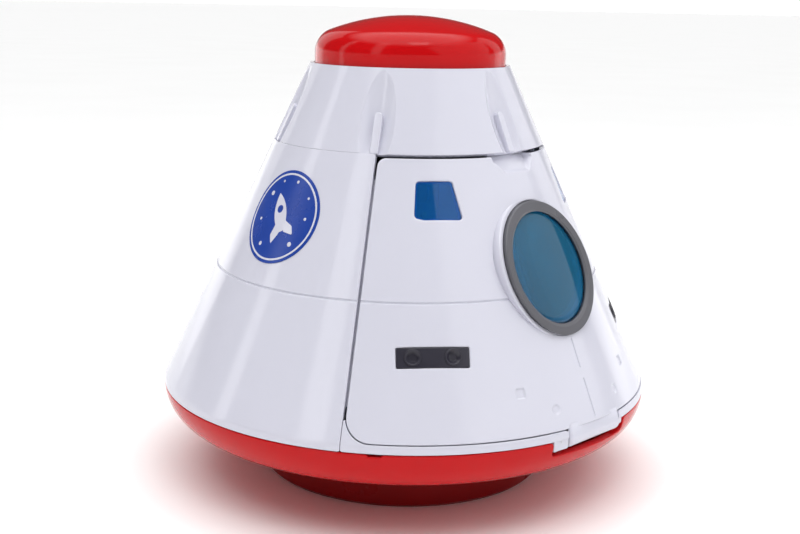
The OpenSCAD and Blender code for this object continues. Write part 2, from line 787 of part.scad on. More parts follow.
module thruster_plate(s) {
    color(slate) difference() {
        union() {
            thruster_blank(s, 0, pocket_depth - 0.1, 0.1);
            for (x = [-nozzle_x, nozzle_x]) intersection() {
                on_cone(s * thruster_az + asin(x / cone_r(thruster_h)), thruster_h)
                    cylinder(r = 2.9, h = 0.4);
                thruster_blank(s, 0, pocket_depth, -1);
            }
        }
        for (x = [-nozzle_x, nozzle_x]) on_cone(s * thruster_az + asin(x / cone_r(thruster_h)), thruster_h)
            translate([0, 0, -0.7]) cylinder(r1 = 1.4, r2 = 2.5, h = 1.2);
    }
}

module left_thruster_plate() {
    thruster_plate(-1);
}

module right_thruster_plate() {
    thruster_plate(1);
}

// A level round bar cut off by two planes along the cone's slope, at heights above the cone's line:
// the porthole is round when it is seen from straight in front
module port_slice(r, low, high) {
    intersection() {
        translate([0, 0, rim_z + port_h]) rotate([90, 0, 0]) cylinder(r = r, h = cone_r(port_h) + 20);
        on_cone(0, port_h) translate([-40, -40, low]) cube([80, 80, high - low]);
    }
}

module porthole_frame() {
    color(slate) difference() {
        union() {
            port_slice(port_frame_r, 0.05, 1.2);
            port_slice(port_frame_r - 0.4, 1.1, 1.6);
        }
        port_slice(port_open_r, -1, 3);
        on_cone(0, port_h) translate([-1.2, port_frame_r / cos(cone_angle) - 1.4, 0]) cube([2.4, 3, 3]);
    }
}

module porthole_lens() {
    front = 1.1;
    bulge = 160;
    color(lens_blue) intersection() {
        union() {
            port_slice(port_open_r + 0.35, -2.2, -0.2);
            port_slice(port_open_r - 0.2, -1, 3);
        }
        on_cone(0, port_h) translate([0, 0, front - bulge]) sphere(r = bulge, $fn = 200);
    }
}

module finger_notch() {
    top = 11.2;
    foot = 6.8;
    d = 5.6 / cos(cone_angle);
    on_cone(0, door_top) intersection() {
        rotate([90, 0, 90]) translate([0, 0, -top]) linear_extrude(height = 2 * top)
            polygon([[-d, 0], [-d, 2], [1, 2], [1, -3.4]]);
        linear_extrude(height = 20, center = true)
            polygon([[-top, -1], [-top, 2], [top, 2], [top, -1], [foot, -d], [-foot, -d]]);
    }
}

module door_panel() {
    bore = pin_d / 2 + run_gap;
    color(white) difference() {
        union() {
            at_rim() {
                difference() {
                    door_sector() shell_section(door_top);
                    translate([0, 0, door_bottom - 10]) cylinder(r = 120, h = 10);
                }
                hinge_axis(-barrel_half, barrel_half, barrel_r);
                translate([-barrel_half, -hinge_y - leaf_back, -hinge_drop])
                    cube([2 * barrel_half, leaf_t, door_bottom + hinge_drop + 1.2]);
            }
            port_slice(port_collar_r, -5, 0);
            on_cone(0, door_top) translate([-13, -9, -5.4]) cube([26, 8.9, 4]);
            for (s = [-1, 1]) on_cone(s * door_half, 20.5)
                translate([-s * (door_gap + 0.5), 0, -wall]) cylinder(r = 1, h = wall - 0.2);
        }
        for (s = [-1, 1]) {
            on_cone(s * door_half, door_bottom) mirror([s > 0 ? 1 : 0, 0, 0]) translate([door_gap, 0, 0])
                corner_tool(door_low_round);
            on_cone(s * door_half, door_top) mirror([s > 0 ? 1 : 0, 0, 0]) mirror([0, 1, 0])
                translate([door_gap, 0, 0]) corner_tool(door_top_round);
            door_side_trim(s);
            on_cone(s * window_az, window_h) linear_extrude(height = 14, center = true) window_outline(s);
            thruster_blank(s, 0.3, pocket_depth, -1);
            on_cone(s * 19.5, 16.8) cube([3.5, 3.5, 1], center = true);
            on_cone(s * 11, 10) cylinder(r = 1.8, h = 0.8, center = true);
        }
        at_rim() {
            panel_line(panel_line_h);
            hinge_axis(-30, 30, bore);
        }
        port_slice(port_open_r + 0.5, -2.4, 8);
        port_slice(port_open_r - 1.4, -9, 6);
        finger_notch();
        on_cone(0, 25.75) cube([0.8, 11.2, 0.8], center = true);
        on_cone(0, 10.95) cube([0.8, 13.8, 0.8], center = true);
    }
}

// Clears the slot at one side of the door, but leaves the small catch that stands into it
module door_side_trim(s) {
    difference() {
        rotate([0, 0, s * door_half]) translate([-s * door_gap / 2, -70, rim_z + 60])
            cube([door_gap + 0.02, 60, 140], center = true);
        on_cone(s * door_half, 20.5) translate([-s * (door_gap + 0.5), 0, -wall]) cylinder(r = 1, h = wall - 0.2);
    }
}

function dome_points(inset) = let (
    c = [dome_r - dome_shoulder, 4],
    centre_z = c[1] - sqrt(pow(crown_r - dome_shoulder, 2) - c[0] * c[0]),
    tilt = acos(c[0] / (crown_r - dome_shoulder))
) concat(
    arc(c, dome_shoulder - inset, 0, tilt, 8),
    arc([0, centre_z], crown_r - inset, tilt, 90, 8)
);

module dome_button() {
    outer = dome_points(0);
    inner = dome_points(dome_wall);
    count = len(inner);
    low = -9.6;
    color(red) at_rim() {
        translate([0, 0, cone_h]) rotate_extrude() polygon(concat(
            [[dome_r, low + 2], [dome_r, 4]], outer,
            [for (i = [count - 1:-1:0]) inner[i]],
            [[dome_r - dome_wall, low], [flange_r, low], [flange_r, low + 2]]
        ));
        difference() {
            cylinder_from(stem_low, stem_r, inner[count - 1][1] + cone_h + 0.5);
            cylinder_from(stem_low - 1, stop_screw_r + run_gap, stem_low + 1 + run_gap);
        }
        difference() {
            cylinder_from(spring_seat_h, 11.5, inner[count - 1][1] + cone_h - 0.4);
            cylinder_from(spring_seat_h - 1, stem_r + 2, inner[count - 1][1] + cone_h - 2);
        }
    }
}

module cylinder_from(z, r, top) {
    translate([0, 0, z]) cylinder(r = r, h = top - z);
}

module button_stop_ring() {
    z = guide_h - 1.6;
    color("black") at_rim() difference() {
        translate([0, 0, z]) cylinder(r = stop_ring_r, h = 1.4);
        translate([0, 0, z - 1]) cylinder(r = stem_r + 0.05, h = 4);
    }
}

module button_stop_screw() {
    color(steel) at_rim() translate([0, 0, stem_low]) cylinder(r = stop_screw_r, h = 1);
}

heat_shield();
foot_drum();
battery_door();
battery_door_screw();
battery_cells();
battery_contacts();
speaker();
speaker_clamp();
speaker_screws();
main_board();
board_parts();
board_screws();
base_screws();
cabin_deck();
deck_screws();
hinge_pin();
rear_shell();
bulkhead();
instrument_panel();
panel_buttons();
left_seat();
right_seat();
cabin_ceiling();
ceiling_led();
upper_cone();
cone_screws();
button_guide();
guide_screws();
button_spring();
switch_board();
switch();
switch_screws();
button_wires();
speaker_wires();
battery_wires();
emblem_sticker();
door_panel();
left_window();
right_window();
porthole_frame();
porthole_lens();
left_thruster_plate();
right_thruster_plate();
dome_button();
button_stop_ring();
button_stop_screw();
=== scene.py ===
"""Looks of a toy space capsule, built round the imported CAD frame. Door towards -Y, +Z up.

The shells are made here again as fine meshes with rounded edges. Sizes are in millimetres until
a mesh is made, and heights on the cone are counted from the widest ring, as in the CAD.
"""

import json
import math

import bpy
import numpy as np
from mathutils import Matrix, Vector


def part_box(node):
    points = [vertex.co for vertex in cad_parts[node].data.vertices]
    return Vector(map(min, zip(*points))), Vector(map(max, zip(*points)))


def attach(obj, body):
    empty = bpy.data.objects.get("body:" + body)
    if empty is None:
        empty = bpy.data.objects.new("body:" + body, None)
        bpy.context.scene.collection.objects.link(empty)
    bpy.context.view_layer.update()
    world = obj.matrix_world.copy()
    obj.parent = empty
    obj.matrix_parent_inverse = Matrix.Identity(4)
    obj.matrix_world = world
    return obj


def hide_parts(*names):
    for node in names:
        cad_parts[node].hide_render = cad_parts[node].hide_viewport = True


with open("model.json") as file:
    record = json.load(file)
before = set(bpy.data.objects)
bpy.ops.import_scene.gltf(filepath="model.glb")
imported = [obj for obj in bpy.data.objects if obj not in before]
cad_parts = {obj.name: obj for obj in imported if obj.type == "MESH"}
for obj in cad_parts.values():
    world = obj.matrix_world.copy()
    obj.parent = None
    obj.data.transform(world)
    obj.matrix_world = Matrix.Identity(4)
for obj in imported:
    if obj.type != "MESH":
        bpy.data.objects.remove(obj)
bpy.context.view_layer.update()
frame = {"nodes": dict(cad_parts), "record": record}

MM = 0.001

# The cone and the widest ring
RIM_Z = round(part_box("rear_shell")[0].z / MM, 2)
CONE_H = round(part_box("upper_cone")[1].z / MM, 2) - RIM_Z
CONE_ANGLE = math.radians(25.1)
TOP_R = 38.3
EDGE_ROUND = 7.5
WALL = 2.2
JOINT_H = 93.8
JOINT_GAP = 0.05
PANEL_LINE_H = 46.3
PANEL_LINE_DEPTH = 0.45
CONE_WALL = 3.4
SIN = math.sin(CONE_ANGLE)
COS = math.cos(CONE_ANGLE)
TAN = math.tan(CONE_ANGLE)
BASE_R = TOP_R + CONE_H * TAN - EDGE_ROUND * (1 / COS - 1)

# The door and what is on it
DOOR_HALF = math.radians(59)
DOOR_TOP = 92.6
DOOR_BOTTOM = 3.3
DOOR_GAP = 1.0
DOOR_TOP_ROUND = 3
DOOR_LOW_ROUND = 9
SILL_GAP = 0.35
NOTCH_TOP = 11.2
NOTCH_FOOT = 6.8
NOTCH_HEIGHT = 5.6
DOOR_SLOTS = ((25.75, 11.2), (10.95, 13.8))
SQUARE_AZ = math.radians(19.5)
SQUARE_H = 16.8
DIMPLE_AZ = math.radians(11)
DIMPLE_H = 10
SEAT_GAP = 0.15
PORT_H = 54.5
PORT_OPEN_R = 18.8
PORT_FRAME_R = 22.5
PORT_COLLAR_R = 23.8
PORT_SINK = 0.4
WINDOW_AZ = math.radians(36.5)
WINDOW_H = 79.05
WINDOW_SINK = 0.7
PANE = 1.3
THRUSTER_AZ = math.radians(39.55)
THRUSTER_H = 29.7
THRUSTER_SIZE = (24.8, 6.85)
POCKET_DEPTH = 1.4
NOZZLE_X = 6.85
NOZZLE_HOLE_R = 2.5

# The hinge
HINGE_Y = 91.6
HINGE_DROP = 0.6
BARREL_R = 3.2
BARREL_HALF = 14.6
EAR_START = 15.1
EAR_LEFT = -21.5
EAR_RIGHT = 17.5
LEFT_EAR_R = BARREL_R + 0.1
RIGHT_EAR_R = BARREL_R - 1.1
EAR_SETBACK = 0.35
BASE_NOTCH = (-21.7, 18.7)
BASE_NOTCH_DEPTH = 5.6

# The heat shield
SHOULDER_R = 15.5
DISH_R = 248
SHIELD_WALL = 2.4
SHIELD_HOLE_R = 50
BASE_SLOT_AZ = math.radians(-51.9)
BASE_SLOT_HALF = 2.3
BASE_SLOT_DEPTH = 0.8

# The deck
DECK_R = 88.8
DECK_TOP = 6.0
DECK_WALL = 2.2
RIB_PITCH = 12
RIB_MIDDLE_Y = -54
RIB_HALF = 22

# The dome
DOME_R = 36.5
DOME_SHOULDER = 9
CROWN_R = 85

# The scoops of the upper cone
SCOOPS = 6
SCOOP_H = 103.8
SCOOP_MAX_R = 9.9
SCOOP_OFFSET = 7.3
SCOOP_CURVE = 76.7
FIN_W = 3
FIN_TOP = 106.4

# The label
EMBLEM_AZ = math.radians(-92)
EMBLEM_H = 69.8
EMBLEM_R = 17.6
ROCKET_TURN = math.radians(-28)
ROCKET_CURVE = 13.5
DOTS = ((-9, 8, 0.9), (-11, -2, 0.6), (-6, -11, 0.8), (9, -9, 0.9),
        (12, 1, 0.6), (3, 13.5, 0.6), (-4.5, 13, 0.5), (10.5, 8.5, 0.5))

# The room and the camera, in metres apart from the lens and its sensor
VIEW_AZ = math.radians(-46.4)
CAMERA_AT = (-0.3378, -0.3217, (RIM_Z + 144.6) * MM)
CAMERA_PITCH = 0.2152
CAMERA_YAW = -0.005
CAMERA_ROLL = 0.0204
LENS = 54
SENSOR_W = 36
FLOOR_HALF = 60.0
LIGHT_TARGET = Vector((0, 0, 0.09))
LIGHT_AWAY = 1.0
# Brightness of the sky by height, from the horizon at 0 to straight up at 1
SKY = ((0.0, 0.45), (0.05, 0.4), (0.11, 0.03), (0.7, 0.04), (0.84, 1.0))
SKY_STRENGTH = 2.4

# CAD nodes that show as they are, with their edges rounded
SOFT_EDGED = ("foot_drum", "battery_door", "bulkhead", "instrument_panel", "panel_buttons",
              "left_seat", "right_seat", "cabin_ceiling")


# ---------------------------------------------------------------- shapes on the cone

def cone_r(z):
    return TOP_R + (CONE_H - z) * TAN


def place_on_cone(az, z, depth):
    """Points in mm at an azimuth and a height on the shell, some depth below its surface."""
    turn = np.arcsin(np.clip(z / EDGE_ROUND, -0.5, SIN))
    round_r = BASE_R - EDGE_ROUND + (EDGE_ROUND - depth) * np.cos(turn)
    round_z = (EDGE_ROUND - depth) * np.sin(turn)
    low = z < EDGE_ROUND * SIN
    r = np.where(low, round_r, cone_r(z) - depth * COS)
    up = np.where(low, round_z, z - depth * SIN)
    return np.stack([r * np.sin(az), -r * np.cos(az), RIM_Z + up], -1)


def under_cone(offset):
    """As place_on_cone, for a surface that lies deeper by offset."""
    def place(az, z, depth):
        return place_on_cone(az, z, depth + offset)
    return place


def cone_metric(az, z):
    """Millimetres per unit of azimuth and of height."""
    return cone_r(z), np.full_like(z, 1 / COS)


def rounded(dx, dy, r):
    """Signed distance to a corner of radius r between two edges at inner distances dx and dy."""
    qx, qy = r - dx, r - dy
    outside = np.hypot(np.maximum(qx, 0), np.maximum(qy, 0))
    return outside + np.minimum(np.maximum(qx, qy), 0) - r


def smooth_max(a, b, k):
    """The larger of two values, with a round change from one to the other."""
    h = np.maximum(k - np.abs(a - b), 0) / k
    return np.maximum(a, b) + h * h * k / 4


def smooth_step(x, lo, hi):
    """0 below lo, 1 above hi, and a smooth rise between."""
    t = np.clip((x - lo) / (hi - lo), 0, 1)
    return t * t * (3 - 2 * t)


def polygon_distance(x, y, points):
    """Signed distance to a closed outline, negative inside."""
    best = np.full(np.shape(x), 1e9)
    inside = np.zeros(np.shape(x), bool)
    for i in range(len(points)):
        (ax, ay), (bx, by) = points[i - 1], points[i]
        ex, ey = bx - ax, by - ay
        wx, wy = x - ax, y - ay
        t = np.clip((wx * ex + wy * ey) / (ex * ex + ey * ey), 0, 1)
        best = np.minimum(best, (wx - ex * t) ** 2 + (wy - ey * t) ** 2)
        crosses = (ay > y) != (by > y)
        with np.errstate(divide="ignore", invalid="ignore"):
            at = ax + (y - ay) * ex / ey
        inside ^= crosses & (x < at)
    return np.where(inside, -1, 1) * np.sqrt(best)


def tangent_xy(az, z, az0, z0):
    """Where a point of the cone lies in the plane that touches it at az0, z0."""
    r, r0 = cone_r(z), cone_r(z0)
    x = r * np.sin(az - az0)
    back = r0 - r * np.cos(az - az0)
    return x, (z - z0) * COS + back * SIN


def tangent_drop(az, z, az0, z0):
    """How far the cone's surface lies below that plane."""
    r, r0 = cone_r(z), cone_r(z0)
    return (r0 - r * np.cos(az - az0)) * COS - (z - z0) * SIN


# ---------------------------------------------------------------- meshes

def add_object(name, verts, faces):
    mesh = bpy.data.meshes.new(name)
    mesh.from_pydata([tuple(v) for v in np.asarray(verts) * MM], [], faces)
    mesh.validate()
    mesh.polygons.foreach_set("use_smooth", [True] * len(mesh.polygons))
    obj = bpy.data.objects.new(name, mesh)
    bpy.context.scene.collection.objects.link(obj)
    return obj


def weld(obj):
    merge = obj.modifiers.new("weld", "WELD")
    merge.merge_threshold = 0.004 * MM


def even_normals(obj):
    even = obj.modifiers.new("even_normals", "WEIGHTED_NORMAL")
    even.mode = "FACE_AREA"
    even.weight = 80
    even.keep_sharp = False


def lines(lo, hi, step, fine=()):
    """Grid lines from lo to hi in even steps, with closer ones over each (low, high, step) in fine."""
    found = list(np.linspace(lo, hi, max(2, round((hi - lo) / step) + 1)))
    for a, b, s in fine:
        found = [x for x in found if not a - s / 2 < x < b + s / 2]
        found += list(np.linspace(a, b, max(2, round((b - a) / s) + 1)))
    return np.array(sorted(x for x in found if lo <= x <= hi))


def around(middle, half, step):
    return lines(middle - half, middle + half, step)


def crossings(a, b, shape):
    """Points between a, inside the shape, and b, outside it, where the shape's edge runs."""
    lo, hi = np.zeros(len(a)), np.ones(len(a))
    for _ in range(16):
        mid = (lo + hi) / 2
        p = a + (b - a) * mid[:, None]
        inside = shape(p[:, 0], p[:, 1]) < 0
        lo, hi = np.where(inside, mid, lo), np.where(inside, hi, mid)
    return a + (b - a) * np.clip((lo + hi) / 2, 0.03, 0.97)[:, None]


def cut_grid(us, vs, shape):
    """The part of a grid where shape is negative: its points, its faces, and its rim as directed pairs."""
    uu, vv = np.meshgrid(us, vs, indexing="ij")
    inside = shape(uu, vv) < 0
    ids = np.full(inside.shape, -1)
    ids[inside] = np.arange(inside.sum())
    nodes = np.stack([uu, vv], -1)
    points = [nodes[inside]]
    count = int(inside.sum())
    edge_ids = []
    for axis in (0, 1):
        a = nodes[:-1] if axis == 0 else nodes[:, :-1]
        b = nodes[1:] if axis == 0 else nodes[:, 1:]
        ia = inside[:-1] if axis == 0 else inside[:, :-1]
        ib = inside[1:] if axis == 0 else inside[:, 1:]
        cut = ia != ib
        inner = np.where(ia[cut][:, None], a[cut], b[cut])
        outer = np.where(ia[cut][:, None], b[cut], a[cut])
        on = np.full(cut.shape, -1)
        on[cut] = count + np.arange(cut.sum())
        count += int(cut.sum())
        edge_ids.append(on)
        points.append(crossings(inner, outer, shape))
    full = inside[:-1, :-1] & inside[1:, :-1] & inside[1:, 1:] & inside[:-1, 1:]
    some = inside[:-1, :-1] | inside[1:, :-1] | inside[1:, 1:] | inside[:-1, 1:]
    i, j = np.nonzero(full)
    faces = np.stack([ids[i, j], ids[i + 1, j], ids[i + 1, j + 1], ids[i, j + 1]], 1).tolist()
    rim = []
    for i, j in zip(*np.nonzero(some & ~full)):
        corners = [(i, j), (i + 1, j), (i + 1, j + 1), (i, j + 1)]
        sides = [edge_ids[0][i, j], edge_ids[1][i + 1, j], edge_ids[0][i, j + 1], edge_ids[1][i, j]]
        face, leaves = [], []
        for k in range(4):
            here, after = corners[k], corners[(k + 1) % 4]
            if inside[here]:
                face.append(int(ids[here]))
            if inside[here] != inside[after]:
                face.append(int(sides[k]))
                if inside[here]:
                    leaves.append(len(face) - 1)
        if len(face) > 2:
            faces.append(face)
            rim += [(face[k], face[(k + 1) % len(face)]) for k in leaves]
    return np.concatenate(points), faces, rim


def flat(u, v):
    return np.zeros(np.shape(u))


def plate(name, us, vs, shape, place, metric, thickness, edge,
          raised=flat, inner_raised=flat, steps=4):
    """A shell of a shape cut out of a surface, with edges rounded by edge on both its faces.

    place(u, v, depth) gives the points, metric(u, v) the millimetres per unit of u and v, and raised
    and inner_raised lift the outer and the inner face."""
    points, faces, rim = cut_grid(us, vs, lambda u, v: shape(u, v) + edge)
    n = len(points)
    u, v = points[:, 0], points[:, 1]
    rim_ids = np.array(sorted({i for pair in rim for i in pair}))
    index = {int(i): k for k, i in enumerate(rim_ids)}
    m = len(rim_ids)
    ru, rv = u[rim_ids], v[rim_ids]
    mu, mv = metric(ru, rv)
    reach = 0.02
    gu = (shape(ru + reach / mu, rv) - shape(ru - reach / mu, rv)) / (2 * reach)
    gv = (shape(ru, rv + reach / mv) - shape(ru, rv - reach / mv)) / (2 * reach)
    size = np.maximum(np.hypot(gu, gv), 1e-6)
    gu, gv = gu / size / mu, gv / size / mv
    layers = [place(u, v, -raised(u, v))]
    turns = np.linspace(0, math.pi / 2, steps + 1)[1:]
    for t in turns:
        d = edge * math.sin(t)
        pu, pv = ru + gu * d, rv + gv * d
        layers.append(place(pu, pv, edge * (1 - math.cos(t)) - raised(pu, pv)))
    for t in turns[::-1]:
        d = edge * math.sin(t)
        pu, pv = ru + gu * d, rv + gv * d
        layers.append(place(pu, pv, thickness - inner_raised(pu, pv) - edge * (1 - math.cos(t))))
    layers.append(place(u, v, thickness - inner_raised(u, v)))
    count = 2 * steps
    back = n + count * m
    rings = [rim_ids] + [n + k * m + np.arange(m) for k in range(count)] + [back + rim_ids]
    all_faces = list(faces)
    for a, b in rim:
        ka, kb = index[a], index[b]
        for first, second in zip(rings, rings[1:]):
            all_faces.append([int(first[kb]), int(first[ka]), int(second[ka]), int(second[kb])])
    all_faces += [[back + i for i in reversed(f)] for f in faces]
    obj = add_object(name, np.concatenate(layers), all_faces)
    weld(obj)
    even_normals(obj)
    return obj


def lathe(name, profile, count, matrix):
    """A closed, counter-clockwise profile of (radius, height) points, turned round Z in count steps."""
    pts = np.array(profile, float)
    turns = np.linspace(0, 2 * math.pi, count, endpoint=False)
    rings = [np.stack([pts[:, 0] * math.cos(t), pts[:, 0] * math.sin(t), pts[:, 1]], 1) for t in turns]
    verts = np.concatenate(rings) @ np.array(matrix.to_3x3()).T + np.array(matrix.translation)
    n = len(pts)
    faces = []
    for i in range(count):
        for k in range(n):
            a, b = i * n + k, i * n + (k + 1) % n
            c, d = ((i + 1) % count) * n + (k + 1) % n, ((i + 1) % count) * n + k
            faces.append([a, d, c, b])
    obj = add_object(name, verts, faces)
    weld(obj)
    even_normals(obj)
    return obj


def arc(cx, cy, r, a0, a1, n):
    """Points of an arc, with its angles in degrees."""
    turns = [math.radians(a) for a in np.linspace(a0, a1, n + 1)]
    return [(cx + r * math.cos(t), cy + r * math.sin(t)) for t in turns]


def soft_profile(corners, n=4):
    """A closed profile from (x, y, radius) corners, each rounded by its radius."""
    pts = np.array([c[:2] for c in corners], float)
    out = []
    for i, (_, _, r) in enumerate(corners):
        a, b, c = pts[i - 1], pts[i], pts[(i + 1) % len(pts)]
        d0, d1 = (a - b) / np.linalg.norm(a - b), (c - b) / np.linalg.norm(c - b)
        half = math.acos(float(np.clip(d0 @ d1, -1, 1))) / 2
        if r <= 0 or half > math.radians(88):
            out.append(tuple(b))
            continue
        reach = min(r / math.tan(half), 0.49 * np.linalg.norm(a - b), 0.49 * np.linalg.norm(c - b))
        p, q = b + d0 * reach, b + d1 * reach
        for t in np.linspace(0, 1, n + 1):
            out.append(tuple((1 - t) ** 2 * p + 2 * t * (1 - t) * b + t * t * q))
    return out


def tangent_frame(az, z):
    """Matrix, in mm, of the plane that touches the cone: X to the right, Y up the slope, Z outwards."""
    x = Vector((math.cos(az), math.sin(az), 0))
    out = Vector((math.sin(az) * COS, -math.cos(az) * COS, SIN))
    up = out.cross(x)
    r = cone_r(z)
    m = Matrix((x, up, out)).transposed().to_4x4()
    m.translation = Vector((r * math.sin(az), -r * math.cos(az), RIM_Z + z))
    return m


def prism(name, outline, depth, matrix, edge, steps):
    """A flat plate of a closed outline, from 0 down to -depth in its own frame, with rounded edges."""
    pts = np.array(outline, float)
    area = np.sum(pts[:, 0] * np.roll(pts[:, 1], -1) - np.roll(pts[:, 0], -1) * pts[:, 1])
    if area < 0:
        pts = pts[::-1]
    ahead = np.roll(pts, -1, 0) - pts
    ahead /= np.linalg.norm(ahead, axis=1)[:, None]
    behind = np.roll(ahead, 1, 0)
    n0 = np.stack([-behind[:, 1], behind[:, 0]], 1)
    n1 = np.stack([-ahead[:, 1], ahead[:, 0]], 1)
    inward = (n0 + n1) / np.maximum(1 + np.sum(n0 * n1, 1), 0.3)[:, None]
    layers = []
    for t in np.linspace(0, math.pi / 2, steps + 1):
        layers.append((edge * (1 - math.sin(t)), -edge * (1 - math.cos(t))))
    for t in np.linspace(math.pi / 2, 0, steps + 1):
        layers.append((edge * (1 - math.sin(t)), -depth + edge * (1 - math.cos(t))))
    n = len(pts)
    verts = np.concatenate([np.column_stack([pts + inward * w, np.full(n, z)]) for w, z in layers])
    faces = [list(range(n)), [(len(layers) - 1) * n + i for i in reversed(range(n))]]
    for k in range(len(layers) - 1):
        for i in range(n):
            j = (i + 1) % n
            faces.append([k * n + j, k * n + i, (k + 1) * n + i, (k + 1) * n + j])
    verts = verts @ np.array(matrix.to_3x3()).T + np.array(matrix.translation)
    obj = add_object(name, verts, faces)
    even_normals(obj)
    return obj


def join(name, parts):
    """One object from several meshes that are one moulding, modifiers applied first."""
    graph = bpy.context.evaluated_depsgraph_get()
    verts, faces, at = [], [], 0
    for part in parts:
        shown = part.evaluated_get(graph)
        mesh = shown.to_mesh()
        co = np.zeros(len(mesh.vertices) * 3)
        mesh.vertices.foreach_get("co", co)
        verts.append(co.reshape(-1, 3) / MM)
        faces += [[at + v for v in p.vertices] for p in mesh.polygons]
        at += len(mesh.vertices)
        shown.to_mesh_clear()
    for part in parts:
        bpy.data.objects.remove(part)
    obj = add_object(name, np.concatenate(verts), faces)
    even_normals(obj)
    return obj


# ---------------------------------------------------------------- materials

def new_material(name, color, rough):
    mat = bpy.data.materials.new(name)
    mat.use_nodes = True
    bsdf = mat.node_tree.nodes["Principled BSDF"]
    bsdf.inputs["Base Color"].default_value = (*color, 1)
    bsdf.inputs["Roughness"].default_value = rough
    return mat, mat.node_tree, bsdf


def noise(tree, scale, detail, rough=0.5):
    where = tree.nodes.new("ShaderNodeTexCoord")
    node = tree.nodes.new("ShaderNodeTexNoise")
    node.inputs["Scale"].default_value = scale
    node.inputs["Detail"].default_value = detail
    node.inputs["Roughness"].default_value = rough
    tree.links.new(where.outputs["Object"], node.inputs["Vector"])
    return node


def ramp(tree, source, stops):
    node = tree.nodes.new("ShaderNodeValToRGB")
    elements = node.color_ramp.elements
    while len(elements) < len(stops):
        elements.new(0.5)
    for element, (at, color) in zip(elements, stops):
        element.position = at
        element.color = (*color, 1)
    tree.links.new(source, node.inputs["Fac"])
    return node


def span(tree, source, lo, hi):
    """Spreads the middle part of a noise over lo to hi."""
    node = tree.nodes.new("ShaderNodeMapRange")
    node.inputs["From Min"].default_value = 0.3
    node.inputs["From Max"].default_value = 0.7
    node.inputs["To Min"].default_value = lo
    node.inputs["To Max"].default_value = hi
    tree.links.new(source, node.inputs["Value"])
    return node


def bump(tree, bsdf, source, distance, under=None):
    node = tree.nodes.new("ShaderNodeBump")
    node.inputs["Strength"].default_value = 1.0
    node.inputs["Distance"].default_value = distance
    tree.links.new(source, node.inputs["Height"])
    if under is not None:
        tree.links.new(under.outputs["Normal"], node.inputs["Normal"])
    tree.links.new(node.outputs["Normal"], bsdf.inputs["Normal"])
    return node


def moulded_plastic(name, color, rough, shade=0.04, grain=0.00001):
    """Injection moulded plastic: slow waves in the gloss, slightly uneven colour and a faint fine grain."""
    mat, tree, bsdf = new_material(name, color, rough)
    cloud = noise(tree, 18, 4)
    darker = tuple(c * (1 - shade) for c in color)
    lighter = tuple(min(1, c * (1 + shade / 2)) for c in color)
    tint = ramp(tree, cloud.outputs["Fac"], [(0.35, darker), (0.65, lighter)])
    tree.links.new(tint.outputs["Color"], bsdf.inputs["Base Color"])
    smear = noise(tree, 55, 6, 0.6)
    gloss = span(tree, smear.outputs["Fac"], rough * 0.8, rough * 1.3)
    tree.links.new(gloss.outputs["Result"], bsdf.inputs["Roughness"])
    wave = noise(tree, 22, 1)
    soft = bump(tree, bsdf, wave.outputs["Fac"], 0.00012)
    fine = noise(tree, 1400, 3)
    bump(tree, bsdf, fine.outputs["Fac"], grain, under=soft)
    return mat


def clear_plastic(name, color, rough):
    """Tinted see-through plastic with a little flow unevenness."""
    mat, tree, bsdf = new_material(name, color, rough)
    bsdf.inputs["Transmission Weight"].default_value = 0.75
    bsdf.inputs["IOR"].default_value = 1.49
    cloud = noise(tree, 40, 3)
    tint = ramp(tree, cloud.outputs["Fac"], [(0.3, tuple(c * 0.85 for c in color)), (0.7, color)])
    tree.links.new(tint.outputs["Color"], bsdf.inputs["Base Color"])
    wave = noise(tree, 60, 2)
    bump(tree, bsdf, wave.outputs["Fac"], 0.00002)
    return mat


def metal(name, color, rough):
    mat, tree, bsdf = new_material(name, color, rough)
    bsdf.inputs["Metallic"].default_value = 1.0
    scratch = noise(tree, 900, 4, 0.7)
    gloss = span(tree, scratch.outputs["Fac"], rough * 0.6, rough * 1.5)
    tree.links.new(gloss.outputs["Result"], bsdf.inputs["Roughness"])
    bump(tree, bsdf, scratch.outputs["Fac"], 0.00001)
    return mat


# Colour and roughness of each material and, for the plastics, how uneven its colour and its grain are
PLASTICS = {
    "white_plastic": ((0.65, 0.65, 0.74), 0.08, 0.012),
    "red_plastic": ((0.55, 0.004, 0.006), 0.1, 0.05),
    # deep_red_plastic is the red plastic darkened: painted shade for the foot, which sits in the shadow
    # under the heat shield
    "deep_red_plastic": ((0.22, 0.004, 0.005), 0.3, 0.06),
    "slate_plastic": ((0.028, 0.026, 0.040), 0.3, 0.15),
    "frame_grey": ((0.10, 0.10, 0.115), 0.32, 0.1),
    "label_blue": ((0.015, 0.055, 0.33), 0.25, 0.06),
    "cabin_grey": ((0.50, 0.52, 0.57), 0.45, 0.03, 0.00003),
    "seat_plastic": ((0.07, 0.09, 0.15), 0.5, 0.08, 0.00004),
    "control_orange": ((0.75, 0.20, 0.02), 0.3),
    "black_plastic": ((0.012, 0.012, 0.014), 0.45, 0.2, 0.00003),
    "board_green": ((0.01, 0.12, 0.04), 0.35, 0.2),
    "wire_red": ((0.4, 0.01, 0.01), 0.5),
    "wire_black": ((0.01, 0.01, 0.01), 0.5),
    "wire_yellow": ((0.6, 0.4, 0.02), 0.5),
}
CLEAR_PLASTICS = {
    "window_blue": ((0.01, 0.28, 0.85), 0.04),
    "lens_teal": ((0.03, 0.33, 0.60), 0.04),
    "led_milky": ((0.85, 0.85, 0.8), 0.15),
}
METALS = {
    "screw_steel": ((0.55, 0.55, 0.57), 0.3),
    "spring_steel": ((0.45, 0.45, 0.47), 0.25),
    "cell_steel": ((0.7, 0.7, 0.71), 0.15),
    "contact_brass": ((0.75, 0.52, 0.18), 0.25),
}


